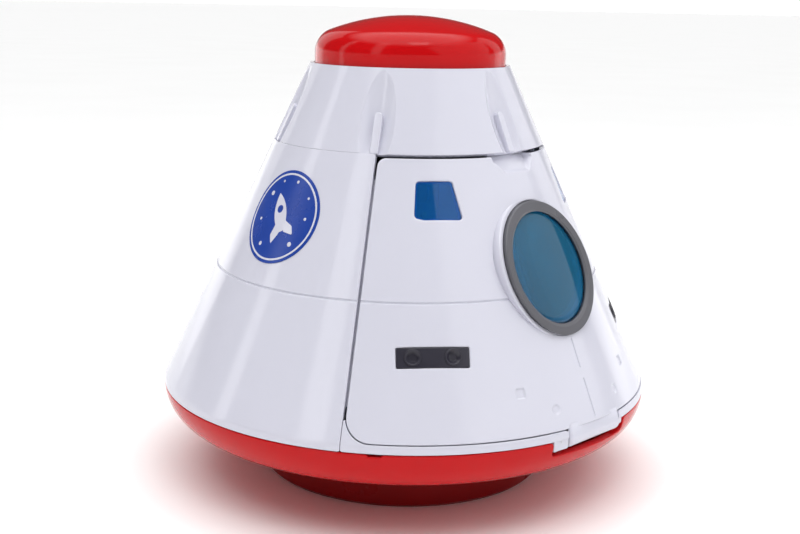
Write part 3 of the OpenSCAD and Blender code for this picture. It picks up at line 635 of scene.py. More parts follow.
def make_materials():
    """Every material, by its slot."""
    made = {name: moulded_plastic(name, *looks) for name, looks in PLASTICS.items()}
    made.update({name: clear_plastic(name, *looks) for name, looks in CLEAR_PLASTICS.items()})
    made.update({name: metal(name, *looks) for name, looks in METALS.items()})
    for name in ("red_plastic", "deep_red_plastic"):
        bsdf = made[name].node_tree.nodes["Principled BSDF"]
        bsdf.inputs["Specular IOR Level"].default_value = 0.2
    return made


MATERIALS = make_materials()


def finish_piece(obj, body, slot, replaces=()):
    obj.data.materials.clear()
    obj.data.materials.append(MATERIALS[slot])
    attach(obj, body)
    if replaces:
        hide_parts(*replaces)
    return obj


def soften(obj):
    """Small rounded edges, as on any moulded part."""
    edge = obj.modifiers.new("soft_edges", "BEVEL")
    edge.width = 0.4 * MM
    edge.segments = 3
    edge.limit_method = "ANGLE"
    edge.angle_limit = math.radians(40)
    edge.harden_normals = True


def dress_cad_nodes():
    """Gives each CAD node its material, and small rounded edges to those that show as they are."""
    slots = {part["node"]: part["material_slot"] for part in frame["record"]["subparts"]}
    for name, obj in frame["nodes"].items():
        obj.data.materials.clear()
        obj.data.materials.append(MATERIALS[slots[name]])
        if name in SOFT_EDGED:
            soften(obj)


# ---------------------------------------------------------------- the door

def port_radius(az, z):
    """Distance from the porthole's middle as seen from straight in front, where the porthole is round."""
    x, y = tangent_xy(az, z, 0, PORT_H)
    return np.hypot(x, y * COS)


def port_matrix():
    """Frame that turns a lathe's circle into the porthole's: round from the front, flat on the slope."""
    m = Matrix(((1, 0, 0), (0, TAN, -1 / COS), (0, 1, 0))).to_4x4()
    m.translation = Vector((0, PORT_SINK / COS - cone_r(PORT_H), RIM_Z + PORT_H))
    return m


def window_points(side):
    """The window's outline in the plane that touches the cone, its slanted side towards the porthole."""
    pts = arc(6.4, -4.9, 1.6, -70, 0, 5)
    pts += arc(5.6, 5.6, 1.4, 0, 90, 6)
    pts += arc(-4.9, 5.6, 1.4, 90, 186, 6)
    pts += arc(-7.5, -5.6, 1.4, 186, 270, 6)
    pts.append((4.6, -7))
    return [(side * x, y) for x, y in pts][::side]


def window_shape(side, grow=0.0):
    """Signed distance to a window's outline, moved outwards by grow."""
    outline = window_points(side)

    def shape(az, z):
        x, y = tangent_xy(az, z, side * WINDOW_AZ, WINDOW_H)
        return polygon_distance(x, y, outline) - grow
    return shape


def thruster_shape(side, grow, corner=0.5):
    """Signed distance to a thruster plate's outline, moved outwards by grow."""
    half_w, half_h = THRUSTER_SIZE[0] / 2 + grow, THRUSTER_SIZE[1] / 2 + grow

    def shape(az, z):
        x, y = tangent_xy(az, z, side * THRUSTER_AZ, THRUSTER_H)
        return rounded(half_w - np.abs(x), half_h - np.abs(y), corner)
    return shape


def door_outline(az, z):
    side = cone_r(z) * np.sin(DOOR_HALF - np.abs(az)) - DOOR_GAP
    top = (DOOR_TOP - z) / COS
    bottom = (z - DOOR_BOTTOM) / COS
    return np.maximum(rounded(side, top, DOOR_TOP_ROUND), rounded(side, bottom, DOOR_LOW_ROUND))


def door_shape(az, z):
    """The door's outline with the holes for the porthole, the windows and the thruster plates."""
    found = door_outline(az, z)
    found = np.maximum(found, PORT_FRAME_R + SEAT_GAP - port_radius(az, z))
    for side in (-1, 1):
        found = np.maximum(found, -window_shape(side)(az, z))
        found = np.maximum(found, -thruster_shape(side, SEAT_GAP)(az, z))
    return found


def panel_groove(z):
    """Depth of the engraved line round the shell and the door."""
    return PANEL_LINE_DEPTH * (1 - smooth_step(np.abs(z - PANEL_LINE_H), 0.15, 0.5))


def notch_ramp(az, z):
    """Depth of the finger notch at the door's top edge."""
    x, y = tangent_xy(az, z, 0, DOOR_TOP)
    length = NOTCH_HEIGHT / COS
    slant = (NOTCH_TOP - NOTCH_FOOT) / (length - 1)
    half = NOTCH_TOP + np.minimum(y + 1, 0) * slant
    side = (half - np.abs(x)) / math.hypot(1, slant)
    corner = rounded(side, y + length, 0.8)
    deep = 0.9 + 2.8 * (y + length) / length
    return np.clip(deep, 0, 3.8) * (1 - smooth_step(corner, -0.6, 0.0))


def door_relief(az, z):
    """Everything engraved in the door's face, as a height."""
    deep = panel_groove(z)
    for middle, length in DOOR_SLOTS:
        x, y = tangent_xy(az, z, 0, middle)
        slot = rounded(0.4 - np.abs(x), length / 2 - np.abs(y), 0.2)
        deep = deep + 0.4 * (1 - smooth_step(slot, -0.22, 0.12))
    for side in (-1, 1):
        x, y = tangent_xy(az, z, side * SQUARE_AZ, SQUARE_H)
        square = rounded(1.75 - np.abs(x), 1.75 - np.abs(y), 0.5)
        deep = deep + 0.5 * (1 - smooth_step(square, -0.3, 0.12))
        x, y = tangent_xy(az, z, side * DIMPLE_AZ, DIMPLE_H)
        deep = deep + 0.45 * (1 - smooth_step(np.hypot(x, y), 1.2, 1.95))
    return -deep


def notch_pull(az, z):
    """How far the pull behind the finger notch stands in from the door's inner face."""
    x, y = tangent_xy(az, z, 0, DOOR_TOP)
    pull = rounded(13 - np.abs(x), y + 9, 2)
    return 3.2 * (1 - smooth_step(pull, -1.2, 0.2))


def place_on_door(az, z, depth):
    """As on the cone, but pushed straight in at the finger notch."""
    share = np.clip(depth / WALL, 0, 1)
    pushed = (notch_ramp(az, z) * (1 - share) + notch_pull(az, z) * share) / COS
    inwards = np.stack([-np.sin(az), np.cos(az), np.zeros_like(az)], -1)
    return place_on_cone(az, z, depth) + inwards * pushed[..., None]


def door_grid():
    """Grid lines of the door, closer together where something is cut out or engraved."""
    deg = math.radians
    fine_az = [(-deg(47), deg(-28), deg(0.55)), (deg(28), deg(47), deg(0.55))]
    for side in (-1, 1):
        for a, b, step in ((6.8, 13.0, 0.2), (17.9, 21.1, 0.17)):
            fine_az.append((*sorted((side * deg(a), side * deg(b))), deg(step)))
    fine_az.append((-deg(0.5), deg(0.5), deg(0.08)))
    fine_z = [(71, 87, 0.5), (87, DOOR_TOP + 0.2, 0.3), (DOOR_BOTTOM - 0.2, 4.4, 0.3), (4.4, 13, 0.6)]
    fine_z += [(7.9, 12.1, 0.24), (14.9, 18.7, 0.22), (20.2, 21, 0.15), (30.4, 31.3, 0.15)]
    fine_z += [(25.6, 27.4, 0.3), (31.8, 33.8, 0.3), (PANEL_LINE_H - 0.6, PANEL_LINE_H + 0.6, 0.1)]
    az_lines = lines(-DOOR_HALF, DOOR_HALF, deg(0.85), fine_az)
    return az_lines, lines(DOOR_BOTTOM - 0.2, DOOR_TOP + 0.2, 1.6, fine_z)


def build_door():
    skin = plate("door_skin", *door_grid(), door_shape, place_on_door, cone_metric, WALL, 0.4, door_relief)
    finish_piece(skin, "door", "white_plastic", ["door_panel"])
    finish_piece(build_collar(), "door", "white_plastic")
    finish_piece(build_door_hinge(), "door", "white_plastic")
    for side, word in ((-1, "left"), (1, "right")):
        finish_piece(build_pocket_floor(side, f"{word}_thruster_pocket"), "door", "white_plastic")
        finish_piece(build_window(side, f"{word}_window_pane"), "door", "window_blue", [f"{word}_window"])
        finish_piece(build_window_rebate(side, f"{word}_window_rebate"), "door", "white_plastic")
        finish_piece(build_thruster(side, f"{word}_thruster_cover"), "door", "slate_plastic",
                     [f"{word}_thruster_plate"])


def build_collar():
    """The flat white ring that the porthole's frame stands on."""
    r = PORT_COLLAR_R
    step, bore = PORT_OPEN_R + 0.5, PORT_OPEN_R - 1.4
    profile = soft_profile([
        (r, -5, 0), (r, 0, 0.7), (step, 0, 0.15), (step, -2.4, 0.1), (bore, -2.4, 0.2), (bore, -5, 0.3)
    ])
    return lathe("porthole_collar", profile, 160, port_matrix())


def hinge_matrix(x):
    """Frame of a hinge part that starts at x and goes along +X: its own X points outwards, its Y up."""
    m = Matrix(((0, 0, -1), (-1, 0, 0), (0, 1, 0))).to_4x4()
    m.translation = Vector((x, -HINGE_Y, RIM_Z - HINGE_DROP))
    return m


def build_door_hinge():
    """The barrel round the pin and the leaf that joins it to the door's bottom edge."""
    top = DOOR_BOTTOM + HINGE_DROP + 1.3
    outline = [(-0.4, top), (-0.4, 2.0)] + arc(0, 0, BARREL_R, 118, 385, 40) + [(2.75, 1.6), (1.6, top)]
    return prism("door_hinge_barrel", outline, 2 * BARREL_HALF, hinge_matrix(-BARREL_HALF), 1.5, 6)


def build_pocket_floor(side, name):
    """The floor behind a thruster plate."""
    az = around(side * THRUSTER_AZ, math.radians(11), math.radians(0.7))
    z = around(THRUSTER_H, 6, 0.6)
    shape = thruster_shape(side, 0.9)
    thickness = WALL - POCKET_DEPTH + 0.05
    return plate(name, az, z, shape, under_cone(POCKET_DEPTH), cone_metric, thickness, 0.2)


def build_window(side, name):
    az = around(side * WINDOW_AZ, math.radians(11), math.radians(0.45))
    z = around(WINDOW_H, 9, 0.45)
    return plate(name, az, z, window_shape(side, -0.06), under_cone(WINDOW_SINK), cone_metric, PANE, 0.3)


def build_window_rebate(side, name):
    """The narrow lip behind a window that its pane is pressed against."""
    az = around(side * WINDOW_AZ, math.radians(12), math.radians(0.45))
    z = around(WINDOW_H, 10, 0.45)
    outer, inner = window_shape(side, 0.7), window_shape(side, -0.8)

    def shape(a, h):
        return np.maximum(outer(a, h), -inner(a, h))
    return plate(name, az, z, shape, under_cone(WINDOW_SINK + PANE + 0.02), cone_metric, 0.5, 0.12)


def build_thruster(side, name):
    """A dark plate with two round nozzles that stand up a little from it."""
    at = side * THRUSTER_AZ
    holes = [at + math.asin(x / cone_r(THRUSTER_H)) for x in (-NOZZLE_X, NOZZLE_X)]
    outer = thruster_shape(side, 0, 0.4)

    def shape(a, h):
        found = outer(a, h)
        for hole in holes:
            x, y = tangent_xy(a, h, hole, THRUSTER_H)
            found = np.maximum(found, NOZZLE_HOLE_R - np.hypot(x, y))
        return found
    az = around(at, math.radians(10), math.radians(0.35))
    z = around(THRUSTER_H, 5, 0.3)
    parts = [plate(name + "_plate", az, z, shape, under_cone(0.1), cone_metric, 1.2, 0.25)]
    nozzle = soft_profile([
        (2.9, -1.2, 0), (2.9, 0.3, 0.25), (2.45, 0.3, 0.2), (1.35, -0.85, 0.15), (0, -0.85, 0), (0, -1.2, 0)
    ])
    for i, hole in enumerate(holes):
        parts.append(lathe(f"{name}_nozzle_{i}", nozzle, 48, tangent_frame(hole, THRUSTER_H)))
    return join(name, parts)


def build_porthole():
    """The dark ring and the slightly domed lens in it."""
    frame_at = port_matrix()
    lens_r = PORT_OPEN_R - 0.2
    flange_r = PORT_OPEN_R + 0.3
    bulge = 160
    ring = soft_profile([
        (PORT_OPEN_R, 0.03, 0), (PORT_FRAME_R, 0.03, 0), (PORT_FRAME_R, 1.6, 0.4),
        (PORT_OPEN_R + 0.9, 1.6, 0.15), (PORT_OPEN_R, 1.1, 0.2)
    ])
    finish_piece(lathe("porthole_ring", ring, 192, frame_at), "door", "frame_grey", ["porthole_frame"])
    dome = [(r, 1.1 - r * r / (2 * bulge)) for r in np.linspace(0, lens_r, 14)]
    lens = [(0, -2.2), (flange_r, -2.2), (flange_r, -0.2), (lens_r, -0.2)] + dome[::-1]
    finish_piece(lathe("porthole_glass", lens, 160, frame_at), "door", "lens_teal", ["porthole_lens"])


# ---------------------------------------------------------------- the shells of the body

def rear_shape(az, z):
    """The lower shell: all round but the door's opening, and up to the joint with the upper cone."""
    side = cone_r(z) * np.clip(az - DOOR_HALF, -1, 1)
    other = cone_r(z) * np.clip(2 * math.pi - DOOR_HALF - az, -1, 1)
    ends = rounded(np.minimum(side, other), (JOINT_H - JOINT_GAP - z) / COS, 0.6)
    return np.maximum(ends, -z)


def build_rear_shell():
    deg = math.radians
    az = lines(DOOR_HALF - deg(0.3), 2 * math.pi - DOOR_HALF + deg(0.3), deg(0.9))
    top = JOINT_H + 0.1
    fine_z = [(-0.2, 4, 0.4), (PANEL_LINE_H - 0.6, PANEL_LINE_H + 0.6, 0.1), (JOINT_H - 1, top, 0.2)]
    z = lines(-0.2, top, 1.8, fine_z)

    def groove(a, h):
        return -panel_groove(h)
    parts = [plate("rear_skin", az, z, rear_shape, place_on_cone, cone_metric, WALL, 0.1, groove)]
    parts += [build_jamb(side) for side in (-1, 1)]
    parts += build_bosses()
    parts.append(build_shell_lip())
    finish_piece(join("rear_shell_moulding", parts), "capsule", "white_plastic", ["rear_shell"])


def build_jamb(side):
    """The step beside the opening that the closed door rests against."""
    middle = side * DOOR_HALF
    half = math.radians(2)

    def shape(a, h):
        across = cone_r(h) * (half - np.abs(a - middle))
        return rounded(across, np.minimum(h - 14, 86 - h) / COS, 1.2)
    az = around(middle, 1.3 * half, math.radians(0.35))
    z = lines(13, 87, 2, [(13, 16, 0.4), (84, 87, 0.4)])
    return plate(f"jamb_{side}", az, z, shape, under_cone(WALL + 0.3), cone_metric, 1.7, 0.35)


def post_matrix(r, degrees, z):
    """Frame of a post at a radius and an angle counted from the front, as in the CAD."""
    a = math.radians(degrees)
    return Matrix.Translation(Vector((r * math.sin(a), -r * math.cos(a), z)))


def build_bosses():
    """The screw bosses that the deck is fixed to."""
    boss = soft_profile([(1.3, 0, 0), (3.6, 0, 0.3), (3.6, 13, 0.4), (0, 13, 0), (0, 11, 0), (1.3, 11, 0)])
    return [lathe(f"boss_{a}", boss, 40, post_matrix(80, a, RIM_Z + 6.15)) for a in (85, 140, 220, 275)]


def build_shell_lip():
    """The lip inside the shell's top edge that the upper cone sits on, behind the door's opening."""
    inner = cone_r(88) - WALL / COS
    top = cone_r(98) - CONE_WALL / COS - 0.15
    az = lines(DOOR_HALF, 2 * math.pi - DOOR_HALF, math.radians(1.5))

    def shape(a, z):
        ends = np.minimum(a - DOOR_HALF - 0.01, 2 * math.pi - DOOR_HALF - 0.01 - a)
        return rounded(inner * ends, np.minimum(z - 87, 97.5 - z), 0.4)

    def place(a, z, depth):
        r = inner + (top - inner) * (z - 88) / 10 + 0.2 - depth
        return np.stack([r * np.sin(a), -r * np.cos(a), RIM_Z + z], -1)

    def metric(a, z):
        return np.full_like(z, inner), np.ones_like(z)
    return plate("shell_lip", az, lines(86.8, 97.7, 1), shape, place, metric, 1.3, 0.3)


def scoop_depth(az, z):
    """How far the dished scoops go below the cone's surface."""
    pitch = 2 * math.pi / SCOOPS
    near = (az + pitch / 2) % pitch - pitch / 2
    x, y = tangent_xy(near, z, 0, SCOOP_H)
    drop = tangent_drop(near, z, 0, SCOOP_H)
    reach = math.sqrt(SCOOP_CURVE ** 2 - (SCOOP_CURVE - SCOOP_MAX_R) ** 2)
    along = np.minimum(np.abs(y), reach)
    spindle = np.sqrt(SCOOP_CURVE ** 2 - along ** 2) - SCOOP_CURVE + SCOOP_MAX_R
    floor = SCOOP_OFFSET - np.sqrt(np.maximum(spindle ** 2 - x ** 2, 0))
    return np.maximum(-drop - floor, 0)


def scoop_relief(az, z):
    return -scoop_depth(az, z)


def build_upper_cone():
    pitch = 2 * math.pi / SCOOPS
    half = math.radians(9.5)
    fine_az = []
    for i in range(-3, 4):
        lo, hi = max(i * pitch - half, -math.pi), min(i * pitch + half, math.pi)
        fine_az.append((lo, hi, math.radians(0.34)))
    az = lines(-math.pi, math.pi, math.radians(1.5), fine_az)
    z = lines(JOINT_H - 0.1, CONE_H + 0.1, 0.36, [(CONE_H - 0.5, CONE_H + 0.1, 0.15)])

    def shape(a, h):
        return np.maximum(JOINT_H - h, h - CONE_H) / COS

    def inner(a, h):
        return 0.35 - scoop_depth(a, h) * 0.3
    parts = [plate("cone_skin", az, z, shape, place_on_cone, cone_metric, CONE_WALL, 0.1,
                   scoop_relief, inner)]
    parts += [build_fin(i * pitch) for i in range(SCOOPS)]
    parts.append(build_top_rim())
    finish_piece(join("upper_cone_moulding", parts), "capsule", "white_plastic", ["upper_cone"])


def build_fin(at):
    """The upright fin in the middle of a scoop, its top rounded."""
    def shape(a, h):
        x, y = tangent_xy(a, h, at, FIN_TOP)
        stem = np.maximum(np.abs(x) - FIN_W / 2, y)
        return np.maximum(np.minimum(stem, np.hypot(x, y) - FIN_W / 2), (JOINT_H - h) / COS)
    name = f"fin_{round(math.degrees(at))}"
    az = around(at, math.radians(2.6), math.radians(0.2))
    z = lines(JOINT_H - 0.3, FIN_TOP + 2.2, 0.3)
    return plate(name, az, z, shape, under_cone(0.1), cone_metric, 3.0, 0.35)


def build_top_rim():
    """The flat ring round the dome at the cone's top edge, and its skirt inside."""
    bore = DOME_R + 0.4
    profile = soft_profile([
        (TOP_R - 0.3, CONE_H - 0.9, 0), (TOP_R - 0.15, CONE_H, 0.45), (bore, CONE_H, 0.2),
        (bore, CONE_H - 7.3, 0.2), (bore + 2.4, CONE_H - 7.3, 0.2)
    ])
    return lathe("top_rim", profile, 192, Matrix.Translation((0, 0, RIM_Z)))


# ---------------------------------------------------------------- the deck with its sill and ears

def sill_shape(az, z):
    """The sill under the door, with the fills under its round lower corners and a break for the hinge."""
    side = cone_r(z) * np.sin(DOOR_HALF - np.abs(az))
    up = (z - DOOR_BOTTOM) / COS
    across = side - DOOR_LOW_ROUND - DOOR_GAP
    lift = up - DOOR_LOW_ROUND
    corner = np.maximum(DOOR_LOW_ROUND + SILL_GAP - np.hypot(across, lift), np.maximum(across, lift))
    found = np.maximum(np.minimum(up + SILL_GAP, corner), 0.2 - side)
    x = cone_r(z) * np.sin(az)
    hinge = rounded(EAR_START - np.abs(x), np.full_like(z, 50), 0.5)
    return np.maximum(np.maximum(found, -z), np.where(z < 9, -hinge, -1))


def build_deck():
    deg = math.radians
    az = lines(-DOOR_HALF - deg(0.2), DOOR_HALF + deg(0.2), deg(0.9), [
        (-deg(59.2), -deg(50), deg(0.3)), (deg(50), deg(59.2), deg(0.3)),
        (-deg(17), -deg(15), deg(0.2)), (deg(15), deg(17), deg(0.2))
    ])
    z = lines(-0.2, 13, 0.35)
    parts = [plate("sill", az, z, sill_shape, place_on_cone, cone_metric, WALL, 0.2)]
    parts.append(build_ear("left_ear", EAR_LEFT, -EAR_START, LEFT_EAR_R))
    parts.append(build_ear("right_ear", EAR_START, EAR_RIGHT, RIGHT_EAR_R))
    parts.append(build_deck_tray())
    for a in (45, 135, 225, 315):
        post = soft_profile([(1.5, 0, 0.1), (4, 0, 0.3), (4, 26, 0), (0, 26, 0), (0, 13, 0), (1.5, 13, 0)])
        parts.append(lathe(f"post_{a}", post, 40, post_matrix(46, a, 14.15)))
    finish_piece(join("cabin_deck_moulding", parts), "capsule", "white_plastic", ["cabin_deck"])


def build_ear(name, start, end, r):
    """An ear that holds the hinge pin, cut back to the round of the shell."""
    outline = [(-6, 3.2), (-6, 0.3 - r)] + arc(0, 0, r, -90, 90, 24) + [(-2, 3.25)]
    ear = prism(name, outline, end - start, hinge_matrix(start), 0.5, 4)
    limit = (BASE_R - EAR_SETBACK) * MM
    for vertex in ear.data.vertices:
        front = -math.sqrt(limit ** 2 - vertex.co.x ** 2)
        vertex.co.y = max(vertex.co.y, front)
    return ear


def rib_relief(x, y):
    """The shallow grooves of the cabin's floor, as a height."""
    found = np.zeros(np.shape(x))
    for k in range(-3, 4):
        across = rounded(0.45 - np.abs(x - RIB_PITCH * k), RIB_HALF - np.abs(y - RIB_MIDDLE_Y), 0.3)
        found = found - 0.4 * (1 - smooth_step(across, -0.25, 0.1))
    return found


def build_deck_tray():
    """The floor of the cabin with its grooves, and the skirt under it."""
    r = DECK_R

    def shape(x, y):
        return np.maximum(np.hypot(x, y) - r, 4 - np.hypot(x, y - 32))

    def place(x, y, depth):
        return np.stack([x, y, RIM_Z + DECK_TOP - depth], -1)

    def metric(x, y):
        return np.ones_like(x), np.ones_like(x)
    fine_x = [(RIB_PITCH * k - 0.7, RIB_PITCH * k + 0.7, 0.12) for k in range(-3, 4)]
    xs = lines(-r - 0.2, r + 0.2, 2.2, fine_x)
    ys = lines(-r - 0.2, r + 0.2, 2.2, [(-76.6, -75.4, 0.2), (-32.6, -31.4, 0.2)])
    floor = plate("deck_floor", xs, ys, shape, place, metric, DECK_WALL, 0.35, rib_relief)
    wall = soft_profile([(r - DECK_WALL, -3, 0.3), (r, -3, 0.3), (r, 5, 0), (r - DECK_WALL, 5, 0)])
    skirt = lathe("deck_skirt", wall, 192, Matrix.Translation((0, 0, RIM_Z)))
    return join("deck_tray", [floor, skirt])


# ---------------------------------------------------------------- the red base

def shield_curve():
    """The shield's outer profile, from its top edge inwards: arc length, radius, height, outward angle."""
    centre_r = BASE_R - SHOULDER_R
    join_angle = math.asin(centre_r / (DISH_R - SHOULDER_R)) - math.pi / 2
    dish_z0 = (DISH_R - SHOULDER_R) * math.cos(join_angle + math.pi / 2)
    start = -math.asin(0.25 / SHOULDER_R)
    turn = np.linspace(start, join_angle, 60)
    r1, z1 = centre_r + SHOULDER_R * np.cos(turn), SHOULDER_R * np.sin(turn)
    r2 = np.linspace(r1[-1], SHIELD_HOLE_R, 60)[1:]
    z2 = dish_z0 - np.sqrt(DISH_R ** 2 - r2 ** 2)
    angle2 = np.arctan2(z2 - dish_z0, r2)
    r, z = np.concatenate([r1, r2]), np.concatenate([z1, z2])
    angle = np.concatenate([turn, angle2])
    s = np.concatenate([[0], np.cumsum(np.hypot(np.diff(r), np.diff(z)))])
    return s, r, z, angle


SHIELD = shield_curve()


def place_on_shield(az, s, depth):
    along, r, z, angle = SHIELD
    at = np.clip(s, along[0], along[-1])
    turn = np.interp(at, along, angle)
    over = s - at
    rr = np.interp(at, along, r) - depth * np.cos(turn) + over * np.sin(turn)
    zz = np.interp(at, along, z) - depth * np.sin(turn) - over * np.cos(turn)
    return np.stack([rr * np.sin(az), -rr * np.cos(az), RIM_Z + zz], -1)


def shield_metric(az, s):
    return np.interp(s, SHIELD[0], SHIELD[1]), np.ones_like(s)


def shield_shape(az, s):
    """The shield with the notch under the hinge and the small slot beside the door."""
    r = np.interp(s, SHIELD[0], SHIELD[1])
    x = r * np.sin(az)
    front = np.cos(az) > 0
    notch = rounded(np.minimum(x - BASE_NOTCH[0], BASE_NOTCH[1] - x), BASE_NOTCH_DEPTH - s, 1.6)
    slot = rounded(BASE_SLOT_HALF - np.abs(r * np.sin(az - BASE_SLOT_AZ)), BASE_SLOT_DEPTH - s, 0.3)
    found = smooth_max(-s, np.where(front, -notch, -9), 1.2)
    found = np.maximum(found, np.where(front, -slot, -9))
    return np.maximum(found, s - SHIELD[0][-1])


def build_heat_shield():
    deg = math.radians
    az = lines(-math.pi, math.pi, deg(1.0), [
        (-deg(17), -deg(10), deg(0.3)), (deg(10), deg(17), deg(0.3)), (-deg(54.5), -deg(49.5), deg(0.25))
    ])
    s = lines(-0.3, SHIELD[0][-1] + 0.2, 1.4, [(-0.3, 7, 0.3)])
    skin = plate("heat_shield_skin", az, s, shield_shape, place_on_shield, shield_metric, SHIELD_WALL, 0.45)
    finish_piece(skin, "capsule", "red_plastic", ["heat_shield"])


# ---------------------------------------------------------------- the dome

def dome_profile(inset_by):
    """The dome from its side to its top, moved inwards: a tight shoulder, then a flat crown."""
    x, y = DOME_R - DOME_SHOULDER, CONE_H + 4
    drop = math.sqrt((CROWN_R - DOME_SHOULDER) ** 2 - x ** 2)
    tilt = math.degrees(math.acos(x / (CROWN_R - DOME_SHOULDER)))
    shoulder = arc(x, y, DOME_SHOULDER - inset_by, 0, tilt, 16)
    crown = arc(0, y - drop, CROWN_R - inset_by, tilt, 90, 24)
    return shoulder + crown[1:]


def build_dome():
    """The dome, the stem that presses the switch, and the tube that slides on its guide."""
    at = Matrix.Translation((0, 0, RIM_Z))
    low = CONE_H - 9.6
    inner = dome_profile(2)[::-1]
    skirt = [(DOME_R - 2, low), (37.3, low), (37.5, low + 0.2), (37.5, low + 2), (DOME_R, low + 2.2)]
    shell = lathe("dome_shell", skirt + dome_profile(0) + inner, 224, at)
    under = inner[0][1]
    stem = soft_profile([(0, 99.5, 0), (5, 99.5, 0.5), (5, under + 0.5, 0), (0, under + 0.5, 0)])
    tube = soft_profile([(7, 120, 0.3), (11.5, 120, 0.3), (11.5, under - 0.4, 0), (7, under - 0.4, 0)])
    parts = [shell, lathe("dome_stem", stem, 64, at), lathe("dome_tube", tube, 96, at)]
    finish_piece(join("dome_moulding", parts), "button", "red_plastic", ["dome_button"])


# ---------------------------------------------------------------- the label

def emblem_xy(az, z):
    return tangent_xy(az, z, EMBLEM_AZ, EMBLEM_H)


def rocket_shape(az, z):
    """A plain rocket seen from the side, standing on its flame end."""
    x, y = emblem_xy(az, z)
    c, s = math.cos(ROCKET_TURN), math.sin(ROCKET_TURN)
    x, y = x * c - y * s, x * s + y * c
    shift = ROCKET_CURVE - 3
    body = np.maximum(np.hypot(x - shift, y - 1), np.hypot(x + shift, y - 1)) - ROCKET_CURVE
    body = np.maximum(body, -y - 6)
    fins = polygon_distance(np.abs(x), y, [(1.2, -1), (5.2, -5.5), (5.2, -9), (1.2, -6.5)])
    window = 1.5 - np.hypot(x, y - 3)
    return np.maximum(np.minimum(body, fins), window)


def dots_shape(az, z):
    x, y = emblem_xy(az, z)
    found = np.full(np.shape(x), 99.0)
    for px, py, r in DOTS:
        found = np.minimum(found, np.hypot(x - px, y - py) - r)
    return found


def ring_shape(az, z):
    x, y = emblem_xy(az, z)
    return np.abs(np.hypot(x, y) - EMBLEM_R + 1.5) - 0.35


def build_label():
    """The blue disc and the white print on it, each layer a thin plate."""
    az = around(EMBLEM_AZ, math.radians(16.5), math.radians(0.4))
    z = around(EMBLEM_H, EMBLEM_R + 1, 0.45)

    def disc(a, h):
        x, y = emblem_xy(a, h)
        return np.hypot(x, y) - EMBLEM_R
    sticker = plate("label", az, z, disc, under_cone(-0.18), cone_metric, 0.16, 0.07, steps=2)
    finish_piece(sticker, "capsule", "label_blue", ["emblem_sticker"])
    layers = {"label_rocket": rocket_shape, "label_dots": dots_shape, "label_ring": ring_shape}
    for name, shape in layers.items():
        print_layer = plate(name, az, z, shape, under_cone(-0.23), cone_metric, 0.06, 0.02, steps=1)
        finish_piece(print_layer, "capsule", "white_plastic")


# ---------------------------------------------------------------- room, light and camera

def softbox(name, turn, rise, size, brightness):
    """A light that faces the capsule, turn degrees to the right of the camera and rise above level."""
    data = bpy.data.lights.new(name, "AREA")
    data.shape = "RECTANGLE"
    data.size, data.size_y = size
    data.energy = brightness * math.pi * size[0] * size[1]
    obj = bpy.data.objects.new(name, data)
    bpy.context.scene.collection.objects.link(obj)
    heading = VIEW_AZ + math.radians(turn)
    level = math.cos(math.radians(rise))
    out = Vector((math.sin(heading) * level, -math.cos(heading) * level, math.sin(math.radians(rise))))
    obj.location = LIGHT_TARGET + out * LIGHT_AWAY
    obj.rotation_mode = "QUATERNION"
    obj.rotation_quaternion = (-out).to_track_quat("-Z", "Y")
    obj.visible_camera = False


def build_sky():
    """A white room: bright overhead and along the horizon, dimmer in between."""
    world = bpy.data.worlds.new("room")
    bpy.context.scene.world = world
    world.use_nodes = True
    tree = world.node_tree
    where = tree.nodes.new("ShaderNodeTexCoord")
    split = tree.nodes.new("ShaderNodeSeparateXYZ")
    tree.links.new(where.outputs["Generated"], split.inputs["Vector"])
    level = ramp(tree, split.outputs["Z"], [(at, (grey,) * 3) for at, grey in SKY])
    sky = tree.nodes["Background"]
    tree.links.new(level.outputs["Color"], sky.inputs["Color"])
    sky.inputs["Strength"].default_value = SKY_STRENGTH
    bpy.context.scene.view_settings.view_transform = "Standard"


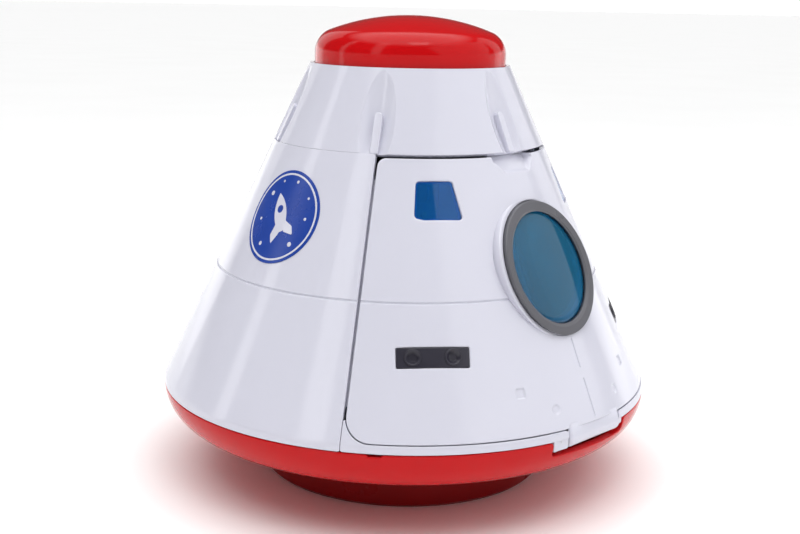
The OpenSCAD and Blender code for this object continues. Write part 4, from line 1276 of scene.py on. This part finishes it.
def build_floor():
    """A wide sheet of pale, matt paper."""
    mesh = bpy.data.meshes.new("floor")
    half = FLOOR_HALF
    corners = [(-half, -half, 0), (half, -half, 0), (half, half, 0), (-half, half, 0)]
    mesh.from_pydata(corners, [], [(0, 1, 2, 3)])
    floor = bpy.data.objects.new("floor", mesh)
    bpy.context.scene.collection.objects.link(floor)
    mat, tree, bsdf = new_material("floor_paper", (0.97, 0.97, 0.97), 0.9)
    cloud = noise(tree, 4, 2)
    tint = ramp(tree, cloud.outputs["Fac"], [(0.3, (0.96, 0.96, 0.96)), (0.7, (0.98, 0.98, 0.98))])
    tree.links.new(tint.outputs["Color"], bsdf.inputs["Base Color"])
    floor.data.materials.append(mat)


def build_room():
    build_floor()
    build_sky()
    softbox("left_strip", -41, 32, (0.2, 0.9), 1.7)
    softbox("left_side", -88, 25, (0.13, 0.9), 1.6)
    softbox("left_back", -143, 20, (0.55, 0.9), 0.8)
    softbox("right_box", 70, 30, (1.5, 0.8), 0.85)
    softbox("right_back", 128, 20, (0.35, 0.9), 0.8)
    softbox("dome_box", 15, 60, (0.3, 0.2), 3.0)


def build_camera():
    """A camera in front of the left edge of the door, looking slightly down."""
    data = bpy.data.cameras.new("camera")
    data.lens = LENS
    data.sensor_width = SENSOR_W
    camera = bpy.data.objects.new("camera", data)
    bpy.context.scene.collection.objects.link(camera)
    level, down = math.cos(CAMERA_PITCH), math.sin(CAMERA_PITCH)
    forward = Vector((math.sin(CAMERA_YAW) * level, math.cos(CAMERA_YAW) * level, -down))
    right = Vector((math.cos(CAMERA_YAW), -math.sin(CAMERA_YAW), 0))
    up = right.cross(forward)
    c, s = math.cos(CAMERA_ROLL), math.sin(CAMERA_ROLL)
    across, upward = right * c + up * s, up * c - right * s
    turned = Matrix((across, upward, -forward)).transposed().to_4x4()
    camera.matrix_world = Matrix.Rotation(VIEW_AZ, 4, "Z") @ turned
    camera.location = CAMERA_AT
    bpy.context.scene.camera = camera


dress_cad_nodes()
build_door()
build_porthole()
build_rear_shell()
build_upper_cone()
build_deck()
build_heat_shield()
build_dome()
build_label()
build_room()
build_camera()
